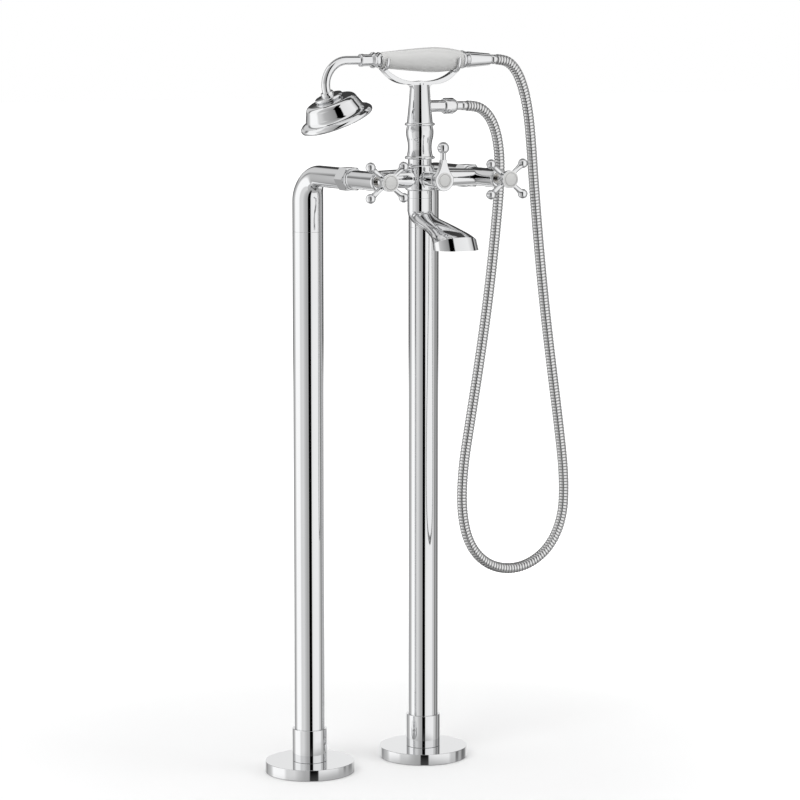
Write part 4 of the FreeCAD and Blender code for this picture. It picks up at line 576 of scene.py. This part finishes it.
outside = [((left_pipe, 0, height), 0.0, radius, radius) for height, radius in (
    (729, 19.2), (745, 19.2), (745, 20.8), (745.6, 20.8), (bend_foot, 20.8))]
outside += elbow_bend(20.8, 14.1)
outside += [((left_pipe, -ahead, axis_height), quarter, radius, radius) for ahead, radius in (
    (bend_radius, 14.1), (104.6, 14.1), (105, 13.7), (105, 9.6), (112.5, 9.6), (112.5, 12.4), (115.5, 12.4),
    (115.5, 7.5), (99, 7.5), (99, 11.5), (bend_radius, 11.5))]
inside = elbow_bend(16.7, 11.5)[::-1]
inside += [((left_pipe, 0, height), 0.0, radius, radius) for height, radius in (
    (bend_foot, 16.7), (729, 16.7), (729, 19.2))]
elbow = swept("left_cast_elbow", outside + inside, sides=96)
buffed(elbow)
dressed_pair(elbow, chrome, "stand", "left_elbow")


# ---------------------------------------------------------------- union nuts and washers
# Captive hexagon nuts of chromed brass with chamfered corners pull the elbows against the mixer,
# each on a fibre washer.

def plate(name, corners, thickness):
    """Draw an outline, fill it and pull it out to its thickness."""
    spots = [Vector(corner) / 1000 for corner in corners]
    piece = drawn(name, spots + spots[:1])
    bpy.ops.mesh.remove_doubles(threshold=weld)
    bpy.ops.mesh.edge_face_add()
    bpy.ops.mesh.extrude_region_move(TRANSFORM_OT_translate={"value": Vector(thickness) / 1000})
    closed_up()
    return piece


nut_start, nut_length, nut_radius = 105, 21.8, 17.147
for side, x in (("left", left_pipe), ("right", left_pipe + pipe_spacing)):
    nut = plate(side + "_hexagon_nut", [
        (x + nut_radius * math.cos(math.radians(60 * step)), -nut_start,
         axis_height + nut_radius * math.sin(math.radians(60 * step))) for step in range(6)],
        (0, -nut_length, 0))
    chamfers = turned("nut_chamfers", [
        (0, 105), (15.0, 105), (18.3, 107), (18.3, 124.8), (15.0, 126.8), (0, 126.8)],
        (x, 0, axis_height), FORWARD)
    joined(nut, chamfers, "INTERSECT")
    thread = turned("nut_bore", [(0, 104), (9.7, 104), (9.7, 112.4), (13.0, 112.4), (13.0, 128), (0, 128)],
                    (x, 0, axis_height), FORWARD)
    joined(nut, thread, "DIFFERENCE")
    buffed(nut, 0.3, 20.0)
    dressed(nut, chrome, "stand", side + "_union_nut")
fibre = cloudy_finish("washer_fibre", (0.42, 0.16, 0.10, 1.0), (0.30, 0.10, 0.07, 1.0), 0.0, 0.6, 0.2,
                      80.0, 0.3)
refinished(fibre, "union_washers")


# ---------------------------------------------------------------- mixer body
# One brass casting, ground and chrome plated: a drum in the middle, an arm to each side, a
# valve barrel on each arm and the diverter's boss in front, with its waterways drilled.

mixer_reach = 146.4
mixer_centre = (0, -mixer_reach, axis_height)
front_axis = (0, 0, axis_height)
mixer = turned("mixer_casting", [
    (0, -16), (16.2, -16), (18.321, -15.121, "round"), (19.2, -13), (19.2, 15), (18.321, 17.121, "round"),
    (16.2, 18), (0, 18)], mixer_centre)
joined(mixer, turned("arms", [(0, -90), (10.5, -90), (12.8, -19.2), (12.8, 19.2), (10.5, 90), (0, 90)],
                     mixer_centre, RIGHT))
joined(mixer, turned("boss", [(0, mixer_reach), (10.2, mixer_reach), (10.2, 168), (0, 168)],
                     front_axis, FORWARD))
valve_axis = (left_pipe, 0, axis_height)
barrel = turned("left_barrel", [
    (0, 117.5), (12.9, 117.5), (12.9, 126.9), (13.0, 126.9), (14.0, 127.9, "round"), (12.6, 130.5),
    (12.2, 132.0), (12.2, 169), (0, 169)], valve_axis, FORWARD)
inlet = turned("left_inlet", [(0, 116.5), (7.5, 116.5), (7.5, 138), (9.6, 138), (9.6, 170), (0, 170)],
               valve_axis, FORWARD)
for solid, how in ((barrel, "UNION"), (inlet, "DIFFERENCE")):
    right_solid = right_copy(solid)
    joined(mixer, solid, how)
    joined(mixer, right_solid, how)
joined(mixer, turned("arm_bores", [(0, -90), (5.5, -90), (5.5, 90), (0, 90)], mixer_centre, RIGHT, steps=48),
       "DIFFERENCE")
joined(mixer, turned("drum_bores", [(0, -17), (12.1, -17), (12.1, -8), (8.5, -8), (8.5, 10), (12.1, 10),
                                    (12.1, 19), (0, 19)], mixer_centre), "DIFFERENCE")
joined(mixer, turned("chamber", [(0, 136.95), (7.55, 136.95), (7.55, 169), (0, 169)], front_axis, FORWARD),
       "DIFFERENCE")
buffed(mixer)
dressed(mixer, chrome, "stand", "mixer_body")


# ---------------------------------------------------------------- valves
# Brass cartridges with two lapped ceramic discs each and a spindle, screwed in the barrels under
# chromed shrouds. The necks in front of the shrouds are nickel plated.

ceramic = cloudy_finish("lapped_ceramic", grey(0.86), grey(0.78), 0.0, 0.18, 0.1, 60.0, 0.05)
nickel = cloudy_finish("nickel_plate", (0.60, 0.58, 0.54, 1.0), (0.50, 0.48, 0.45, 1.0), 1.0, 0.12, 0.1,
                       40.0, 0.05)
refinished(nickel, "left_valve_cartridge", "right_valve_cartridge")
refinished(ceramic, "left_fixed_disc", "left_moving_disc", "right_fixed_disc", "right_moving_disc")
refinished(brass, "left_valve_spindle", "right_valve_spindle")
shroud = turned("left_valve_shroud", [
    (9.7, 169.1), (12.6, 169.1), (12.6, 197.3), (11.662, 199.562, "round"), (9.4, 200.5), (6.5, 200.5),
    (6.5, 197.5), (9.7, 197.5)], valve_axis, FORWARD, edge=0.25)
dressed_pair(shroud, chrome, "stand", "left_valve_bonnet")


# ---------------------------------------------------------------- cross handles
# Brass handles cast in one piece, a bell shaped hub with four arms that swell into balls,
# polished and plated. Each is screwed on its spindle, under a domed porcelain disc.

def porcelain_finish(name, level, gloss=0.12):
    """Glazed porcelain: a soft white body under a clear glaze, and a grey line where a ring is marked."""
    finish = Finish(name, roughness=gloss, coat_weight=0.5, coat_roughness=0.03)
    place = finish.place()
    body = finish.cloud(place, 40.0, 3.0)
    pooling = finish.cloud(place, 90.0, 2.0)
    line = finish.add("ShaderNodeAttribute", {"attribute_name": "ring"}, {}, "Fac")
    glaze = finish.blend(body, (level, level, level - 0.010, 1.0),
                         (level - 0.03, level - 0.03, level - 0.036, 1.0))
    finish.shade(base_color=finish.blend(line, glaze, grey(0.12)),
                 normal=finish.relief(pooling, 0.03))
    return finish.material


def domed(radius, floor, edge, top, groove):
    """Profile of a domed disc with a fine ring engraved round its face."""
    rise = top - edge
    sphere = (radius * radius + rise * rise) / (2 * rise)
    face = [(across, top - sphere + math.sqrt(sphere * sphere - across * across))
            for across in (radius - 0.25, radius * 0.93, groove + 0.35, groove - 0.35, radius * 0.62,
                           radius * 0.45, radius * 0.3, radius * 0.15)]
    deep = top - sphere + math.sqrt(sphere * sphere - groove * groove) - 0.35
    return [(0, floor), (radius, floor), (radius, edge)] + face[:3] + [(groove, deep)] + face[3:] + [(0, top)]


def ringed(disc, centre, radius):
    """Mark the engraved ring of a disc for its finish."""
    ring = disc.data.attributes.new("ring", "FLOAT", "POINT")
    middle = Vector(centre) / 1000
    ring.data.foreach_set("value", [
        1.0 if abs(math.hypot(point.co.x - middle.x, point.co.z - middle.z) * 1000 - radius) < 0.2 else 0.0
        for point in disc.data.vertices])


disc_glaze = porcelain_finish("disc_porcelain", 0.62)
handle_reach = 219.6
handle = turned("left_handle_casting", [
    (0, 207.9), (7.2, 207.9), (6.9, 211.9), (8.4, 218.1, "round"), (11.5, 222.6), (11.9, 226.3),
    (11.9, 228.8), (0, 228.8)], valve_axis, FORWARD)
for arm_turn in (39.5, 140.5, 219.5, 320.5):
    along = Vector((math.cos(math.radians(arm_turn)), 0.0, math.sin(math.radians(arm_turn))))
    joined(handle, turned("handle_arm", [
        (0, 4), (4.4, 4), (3.2, 14.22, "round"), (4.0, 26.4), (6.5, 31.5, "round"), (0, 37.8)],
        (left_pipe, -handle_reach, axis_height), (Vector((0.0, 1.0, 0.0)), along), steps=48))
joined(handle, turned("handle_bores", [
    (0, 206.9), (3.55, 206.9), (3.55, 220.7), (1.8, 220.7), (1.8, 223.6), (3.5, 223.6), (3.5, 226.6),
    (11.0, 226.6), (11.0, 230), (0, 230)], valve_axis, FORWARD), "DIFFERENCE")
buffed(handle)
dressed_pair(handle, chrome, "left_valve", "left_cross_handle")
disc_ring = 8.6
disc = turned("left_handle_disc", domed(10.9, 226.7, 229.2, 231.6, disc_ring), valve_axis, FORWARD, edge=0.0)
ringed(disc, valve_axis, disc_ring)
dressed_pair(disc, disc_glaze, "left_valve", "left_index_disc")
refinished(steel, "left_handle_screw", "right_handle_screw")


# ---------------------------------------------------------------- diverter
# A brass plug and stem in the drum, kept in by a brass gland under a chromed cone. The cast
# lever on the stem is a blade that ends in a ball, with a porcelain disc over its screw.

refinished(brass, "diverter_spindle", "diverter_gland")
cone = turned("diverter_cone", [
    (7.6, 168.1), (9.4, 168.1), (12.2, 197), (11.2, 198), (5.7, 198), (5.7, 194), (7.6, 194)],
    front_axis, FORWARD, edge=0.25)
dressed(cone, chrome, "stand", "diverter_bonnet")
blade_outline = outline([(-4.0, 27.0), (-5.8, 17.82, "round"), (-13.348, 4.828), (0, -14.2, "round"),
                         (13.348, 4.828), (5.8, 17.82, "round"), (4.0, 27.0)], 16)
blade_back, blade_thickness = 203.7, 8.0
lever = plate("lever_casting", [(across, -blade_back, axis_height + up) for across, up in blade_outline],
              (0, -blade_thickness, 0))
rounded(lever, 2.4, 5, 60.0)
joined(lever, turned("lever_neck", [
    (0, 22), (3.8, 22), (3.8, 30), (3.671, 35.318), (7.8, 42.2, "round"), (0, 50.0)],
    (0, -blade_back - blade_thickness / 2, axis_height), steps=64))
joined(lever, turned("lever_boss", [(0, 198.3), (8.52, 198.3), (8.52, 205), (0, 205)], front_axis, FORWARD,
                     steps=64))
joined(lever, turned("lever_bores", [
    (0, 197), (3.05, 197), (3.05, 206.1), (1.8, 206.1), (1.8, 207.6), (3.5, 207.6), (3.5, 210.2),
    (10.3, 210.2), (10.3, 213), (0, 213)], front_axis, FORWARD), "DIFFERENCE")
buffed(lever)
dressed(lever, chrome, "diverter", "diverter_lever")
lever_ring = 7.9
lever_disc = turned("lever_disc", domed(10.2, 210.3, 212.0, 213.6, lever_ring), front_axis, FORWARD, edge=0.0)
ringed(lever_disc, front_axis, lever_ring)
dressed(lever_disc, disc_glaze, "diverter", "lever_index_disc")
refinished(steel, "lever_screw")


# ---------------------------------------------------------------- spout
# A cast brass spout on a threaded tail under the drum, plated. It bends forward, flares to a
# wide mouth and has a crease above the front lip.

tail = turned("spout_tail_tube", [
    (8, -7.9), (12, -7.9), (12, 0), (16.2, 0), (16.1, 0.8), (16.1, 9.7), (12, 9.7), (12, 17.7), (8, 17.7)],
    (0, -mixer_reach, axis_height - 16), DOWN, edge=0.2)
dressed(tail, chrome, "stand", "spout_tail")

# Each section gives its upper line's reach and drop, its lower line's reach and drop, and its width.
spout_sections = [(16.2, 43, -16.2, 43, 32.4), (19.7, 46.5, -11.2, 52, 33.2), (33, 50.5, 5, 60.5, 36),
                  (55, 55, 38, 68.6, 40), (79, 60.5, 60, 77.1, 47), (98, 65.5, 68, 83.1, 55),
                  (112.5, 71.0, 69.5, 86.8, 60), (119.6, 88.5, 70, 88.5, 61)]


def between(before, first, second, after, share):
    """A smooth step between two sections, with their neighbours."""
    return tuple(0.5 * (2 * q + (r - p) * share + (2 * p - 5 * q + 4 * r - t) * share ** 2
                        + (3 * q - p - 3 * r + t) * share ** 3)
                 for p, q, r, t in zip(before, first, second, after))


def spout_stations(inset):
    """Stations down the spout between its upper and lower lines, drawn in by an inset."""
    stations = []
    last = len(spout_sections) - 1
    for number in range(last):
        first, second = spout_sections[number], spout_sections[number + 1]
        before = spout_sections[max(number - 1, 0)] if number < last - 1 else first
        after = spout_sections[number + 2] if number < last - 2 else second
        stations += [between(before, first, second, after, step / 8) for step in range(8)]
    stations.append(spout_sections[last])
    placed = []
    for upper_reach, upper_drop, lower_reach, lower_drop, width in stations:
        upper = Vector((0.0, -mixer_reach - upper_reach, axis_height - upper_drop))
        lower = Vector((0.0, -mixer_reach - lower_reach, axis_height - lower_drop))
        slope = lower - upper
        placed.append((tuple((upper + lower) / 2), math.atan2(slope.z, slope.y), width / 2 - inset,
                       slope.length / 2 - inset))
    return placed


outside = [((0, -mixer_reach, height), 0.0, radius, radius) for height, radius in (
    (795.3, 12.2), (795.3, 15.9), (795.0, 16.2), (794.4, 16.2))]
outside += spout_stations(0.0)
inside = spout_stations(2.4)[::-1]
inside += [((0, -mixer_reach, height), 0.0, radius, radius) for height, radius in (
    (787.2, 13.8), (787.2, 12.2), (795.3, 12.2))]
spout = swept("cast_spout", outside + inside, sides=72)
smoothed(spout, 11.0)
dressed(spout, chrome, "stand", "spout")


# ---------------------------------------------------------------- column
# Two chromed brass turnings screwed together above the drum: a baluster with two rings and a
# bulge, and a slim cone with the shower outlet on its right.

column_axis = (0, -mixer_reach, 0)
baluster = turned("turned_baluster", [
    (8, 831.1), (12, 831.1), (12, 839), (15.6, 839), (15.6, 846.3), (18.0, 846.3), (19.9, 848.2, "round"),
    (18.0, 850.1), (17.4, 850.1), (15.6, 862.54, "round"), (16.7, 871.76), (18.1, 881.42, "round"),
    (16.8, 890.2), (18.0, 890.2), (19.9, 892.1, "round"), (18.0, 894.0), (12.1, 894.0), (12.1, 886.0),
    (8, 886.0)], column_axis, edge=0.2)
dressed(baluster, chrome, "stand", "column_baluster")

cone = turned("turned_cone", [
    (0, 919.8), (8, 919.8), (8, 886.1), (12, 886.1), (12, 894.0), (16.9, 894.0), (16.9, 895.5),
    (14.2, 923.4, "round"), (12.6, 943.6), (6.1, 943.6), (6.1, 931.1), (0, 931.1)], column_axis)
outlet_axis = (0, -mixer_reach, 915.4)
joined(cone, turned("outlet", [(0, 9), (7.9, 9), (7.9, 35.2), (7.4, 35.2), (7.4, 45.8), (0, 45.8)],
                     outlet_axis, RIGHT, steps=64))
joined(cone, turned("outlet_bore", [(0, 0), (4.4, 0), (4.4, 47), (0, 47)], outlet_axis, RIGHT, steps=48),
       "DIFFERENCE")
buffed(cone)
dressed(cone, chrome, "stand", "column_cone")


# ---------------------------------------------------------------- cradle
# A crescent of cast brass, plated and screwed in the top of the column, with a fork at each end
# that the grip drops into.

crescent_outline = outline([
    (-57.5, 963.2), (-34, 946.7, "round"), (-19, 944.3), (-14.2, 942.4, "round"), (-12.4, 937.5),
    (12.4, 937.5), (14.2, 942.4, "round"), (19, 944.3), (34, 946.5, "round"), (54.5, 960.0), (49.0, 961.6),
    (26, 950.4, "round"), (0, 948.8), (-26, 950.4, "round"), (-52.0, 964.6)], 14)
crescent_thickness = 10.0
crescent_back = -mixer_reach + crescent_thickness / 2
cradle = plate("cast_cradle", [(across, crescent_back, height) for across, height in crescent_outline],
               (0, -crescent_thickness, 0))
rounded(cradle, 2.4, 6, 60.0)
joined(cradle, turned("column_top", [(0, 936), (12.95, 936), (12.8, 940), (12.65, 943.6), (0, 943.6)],
                      column_axis), "DIFFERENCE")
handset_height = 976.2
for across, seat in ((-54.5, 11.354), (51.5, 14.589)):
    reach = seat + 1.8
    prong = [((across, -mixer_reach - reach, handset_height + 3.0), 0.0, 0.6, 0.5),
             ((across, -mixer_reach - reach, handset_height + 2.8), 0.0, 1.7, 1.3)]
    for step in range(25):
        bend = math.pi * step / 24
        slim = 1.0 - 0.28 * math.cos(bend) ** 2
        centre = (across, -mixer_reach - reach * math.cos(bend), handset_height - reach * math.sin(bend))
        prong.append((centre, bend, 3.4 * slim, 1.8 * slim))
    prong += [((across, -mixer_reach + reach, handset_height + 2.8), math.pi, 1.7, 1.3),
              ((across, -mixer_reach + reach, handset_height + 3.0), math.pi, 0.6, 0.5)]
    hook = swept("cradle_fork", prong, sides=32)
    in_edit(hook)
    bpy.ops.mesh.select_all(action="DESELECT")
    bpy.ops.mesh.select_non_manifold()
    bpy.ops.mesh.edge_face_add()
    closed_up()
    joined(cradle, hook)
joined(cradle, turned("cradle_stem", [(0, 931.6), (6.0, 931.6), (6.0, 945.6), (0, 945.6)],
                      column_axis, steps=48))
buffed(cradle)
dressed(cradle, chrome, "stand", "handset_cradle")


# ---------------------------------------------------------------- handset grip
# A grip of glazed porcelain, slim at its ends and fullest right of its middle, on a brass tube
# that carries the water, between two chromed collars.

grip_axis = (0, -mixer_reach, handset_height)
grip = turned("porcelain_grip", [
    (6.1, -60.4), (10, -60.4), (13.1, -27.18, "round"), (15.8, 8), (16.2, 26, "round"), (11.3, 62),
    (6.1, 62)], grip_axis, RIGHT, edge=0.6)
dressed(grip, porcelain_finish("grip_porcelain", 0.60, 0.28), "handset", "handset_grip")
refinished(brass, "grip_core")
front = turned("grip_front_collar", [
    (6.1, -60.5), (9.8, -60.5), (10.4, -62.5), (9.2, -64.5), (9.2, -67.5), (10.4, -69.5), (10.4, -71.5),
    (7.6, -74.5), (7.6, -84.7), (8.2, -85.7), (8.2, -89.4), (7.4, -90.2), (5.7, -90.2), (5.7, -73.4),
    (6.1, -73.4)], grip_axis, RIGHT, edge=0.3)
dressed(front, chrome, "handset", "front_collar")
rear = turned("grip_rear_collar", [
    (6.1, 62.1), (11.3, 62.1), (11.9, 64.1, "round"), (11.1, 66.1), (10.5, 68.1), (9.9, 72.2), (6.1, 72.2)],
    grip_axis, RIGHT, edge=0.2)
dressed(rear, chrome, "handset", "rear_collar")


# ---------------------------------------------------------------- handset neck and rose
# A bent chromed tube carries the rose: a bell spun from brass sheet with a rolled rim, and in it
# a face plate with three rings of water holes.

rose_tilt = math.radians(22.5)
neck_radius = 31
neck_start = (-73.6, -mixer_reach, handset_height)
neck_bend = (-109, -mixer_reach, handset_height)


def neck_stations(radius):
    """Stations along the neck, straight out of the collar and then round its bend."""
    stations = [(neck_start, -quarter, radius, radius), (neck_bend, -quarter, radius, radius)]
    for step in range(1, 31):
        bend = (quarter + rose_tilt) * step / 30
        centre = (neck_bend[0] - neck_radius * math.sin(bend), -mixer_reach,
                  handset_height - neck_radius * (1 - math.cos(bend)))
        stations.append((centre, -quarter - bend, radius, radius))
    return stations


outside = neck_stations(5.6)
neck = swept("bent_neck_tube", outside + neck_stations(4.2)[::-1] + outside[:1], "Y", 48)
buffed(neck)
dressed(neck, chrome, "handset", "handset_neck")
rose_facing = (Vector((0.0, 1.0, 0.0)), Vector((math.sin(rose_tilt), 0.0, -math.cos(rose_tilt))))
rose_top = (-137.641, -mixer_reach, 933.337)
bell = turned("rose_bell", [
    (5.7, -3), (7.6, -3), (8.4, -2), (8.4, 1.6), (17.2, 2.6), (18.8, 4.6, "round"), (17.2, 6.8), (15.8, 7.4),
    (27.5, 8.6), (32.4, 10.8, "round"), (34.8, 15.6), (38.6, 24.5), (42.0, 29.8, "round"), (46.2, 31.4),
    (48.4, 33.6), (48.8, 36.2, "round"), (47.2, 38.8), (44.8, 38.8), (44.8, 35.6), (43.4, 35.6), (40.4, 31.6),
    (36.8, 25.6), (32.7, 16.6), (26.5, 10.4), (4.2, 9.6), (4.2, 3), (5.7, 3)],
    rose_top, rose_facing, steps=128, edge=0.25)
dressed(bell, chrome, "handset", "rose_body")
refinished(chrome, "rose_face_plate")


# ---------------------------------------------------------------- hose unions
# Chromed brass: a long conical nut and a crimped tail piece join the hose to the handset, and a
# round nut, a rubber washer and a second tail piece join it to the outlet.

cone_nut = turned("conical_hose_nut", [
    (6.1, 72.3), (10.0, 72.3), (10.5, 73.3), (7.7, 105.5), (6.9, 106.5), (5.1, 106.5), (5.1, 92.2),
    (6.1, 90.2)], grip_axis, RIGHT, edge=0.2)
dressed(cone_nut, chrome, "handset", "upper_hose_nut")
upper_tail = turned("upper_tail_piece", [
    (3.4, 86.4), (6, 86.4), (6, 89.8), (5, 91.8), (5, 106.6), (6, 106.6), (6, 107.6), (3.4, 107.6)],
    grip_axis, RIGHT, steps=64, edge=0.15)
dressed(upper_tail, chrome, "handset", "upper_hose_ferrule")
round_nut = turned("round_hose_nut", [
    (7.5, 35.3), (9.4, 35.3), (10.6, 37.3), (10.6, 49.1), (8.0, 53.7), (5.1, 53.7), (5.1, 50.1), (7.5, 50.1)],
    outlet_axis, RIGHT, edge=0.3)
dressed(round_nut, chrome, "stand", "lower_hose_nut")
lower_tail = turned("lower_tail_piece", [
    (3.4, 47.4), (7.4, 47.4), (7.4, 50.1), (5, 50.1), (5, 53.8), (6, 53.8), (6, 62), (4.7, 62), (4.7, 74),
    (3.4, 74)], outlet_axis, RIGHT, steps=64, edge=0.15)
dressed(lower_tail, chrome, "stand", "lower_hose_ferrule")
refinished(rubber, "lower_hose_washer")


# ---------------------------------------------------------------- the shower hose
# Double interlocked metal hose, chrome plated: a flat strip wound with folded edges round a
# plastic lining, about 4 mm to a turn. Both ends are crimped on tail pieces.

hose_route = [
    (107.9, handset_height), (129.5, handset_height), (144.5, 966.5), (154.8, 950.5), (162.6, 928.5),
    (168.6, 900.0), (172.6, 864.0), (176.5, 817.0), (184.5, 735.0), (194.5, 648.0), (207.0, 560.0),
    (220.0, 474.0), (229.0, 403.0), (226.5, 347.0), (202.5, 305.0), (160.0, 284.0), (113.0, 289.5),
    (79.0, 319.0), (65.0, 368.0), (67.0, 428.0), (78.0, 490.0), (92.0, 568.0), (103.5, 640.0),
    (111.8, 702.0), (118.5, 762.0), (122.8, 808.0), (123.2, 846.0), (119.0, 874.0), (111.5, 894.0),
    (100.0, 908.0), (84.5, 915.4), (62.0, 915.4)]
hose_plane = -mixer_reach / 1000
line = bpy.data.curves.new("hose_line", "CURVE")
line.dimensions = "3D"
line.resolution_u = 24
route = line.splines.new("NURBS")
route.points.add(len(hose_route) - 1)
for point, (reach, height) in zip(route.points, hose_route):
    point.co = (reach / 1000, hose_plane, height / 1000, 1.0)
route.order_u = 3
route.use_endpoint_u = True
line_object = bpy.data.objects.new("hose_line", line)
bpy.context.scene.collection.objects.link(line_object)
bpy.context.view_layer.update()
traced = bpy.data.meshes.new_from_object(line_object)
hose_spots = [vertex.co.copy() for vertex in traced.vertices]
bpy.data.objects.remove(line_object)
bpy.data.meshes.remove(traced)


def spots_at(distances):
    """The place and direction at each distance along the hose's line, in metres."""
    found = []
    index = 0
    passed = 0.0
    for distance in distances:
        step = (hose_spots[index + 1] - hose_spots[index]).length
        while distance > passed + step and index < len(hose_spots) - 2:
            passed += step
            index += 1
            step = (hose_spots[index + 1] - hose_spots[index]).length
        share = (distance - passed) / step
        here = (hose_spots[index + 1] - hose_spots[index]).normalized()
        near = hose_spots[max(index - 1, 0)]
        far = hose_spots[min(index + 2, len(hose_spots) - 1)]
        ahead = ((far - near).normalized() * 0.5 + here * 0.5).normalized()
        found.append((hose_spots[index].lerp(hose_spots[index + 1], share), ahead))
    return found


hose_length = sum((b - a).length for a, b in zip(hose_spots, hose_spots[1:]))
cuff_length = 0.009
rib_pitch = 0.0042
rib_count = round((hose_length - 2 * cuff_length) / rib_pitch)
rib_pitch = (hose_length - 2 * cuff_length) / rib_count

# Each ring gives its place along the hose, or along a rib, its radius, and 1 where it lies in a groove, whose
# colour is painted dark as shade.
rib_section = ((0.05, 6.25, 1), (0.24, 6.93, 0), (0.50, 7.0, 0), (0.80, 6.93, 0), (0.97, 6.3, 1))
ring_spots = [(0.0, 4.8, 0), (0.0, 6.2, 0), (cuff_length - 0.0002, 6.2, 0), (cuff_length, 5.9, 1)]
for rib in range(rib_count):
    for share, radius, depth in rib_section:
        ring_spots.append((cuff_length + (rib + share) * rib_pitch, radius, depth))
ring_spots += [(hose_length - cuff_length, 5.9, 1), (hose_length - cuff_length + 0.0002, 6.2, 0),
               (hose_length, 6.2, 0), (hose_length, 4.8, 0)]
hose_sides = 20
corners = []
grooves = []
for (place, ahead), (distance, radius, depth) in zip(spots_at([spot[0] for spot in ring_spots]), ring_spots):
    steady = Vector((0.0, 1.0, 0.0))
    across = steady.cross(ahead).normalized()
    for side in range(hose_sides):
        angle = 2 * math.pi * side / hose_sides
        corners.append(place + (steady * math.cos(angle) + across * math.sin(angle)) * (radius / 1000))
        grooves.append(depth)
faces = []
for ring in range(len(ring_spots) - 1):
    for side in range(hose_sides):
        a = ring * hose_sides + side
        b = ring * hose_sides + (side + 1) % hose_sides
        faces.append((a, b, b + hose_sides, a + hose_sides))
faces.append(tuple(range(hose_sides - 1, -1, -1)))
faces.append(tuple(range(len(corners) - hose_sides, len(corners))))
hose_mesh = bpy.data.meshes.new("shower_hose_ribs")
hose_mesh.from_pydata(corners, [], faces)
groove = hose_mesh.attributes.new("groove", "FLOAT", "POINT")
groove.data.foreach_set("value", grooves)
hose_tube = bpy.data.objects.new("ribbed_shower_hose", hose_mesh)
bpy.context.scene.collection.objects.link(hose_tube)
for face in hose_mesh.polygons:
    face.use_smooth = True

hose_chrome = Finish("ribbed_hose_chrome", metallic=1.0)
groove_shade_and_gloss = hose_chrome.add("ShaderNodeAttribute", {"attribute_name": "groove"}, {}, "Fac")
film = hose_chrome.cloud(hose_chrome.place(), 18.0, 3.0)
# The colour is painted darker in the grooves as shade, and the grooves are also rougher.
hose_chrome.shade(base_color=hose_chrome.blend(groove_shade_and_gloss, grey(0.80), grey(0.26)),
                  roughness=film * 0.06 + groove_shade_and_gloss * 0.3 + 0.10)
hose_mesh.materials.append(hose_chrome.material)
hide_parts("shower_hose")
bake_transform(hose_tube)
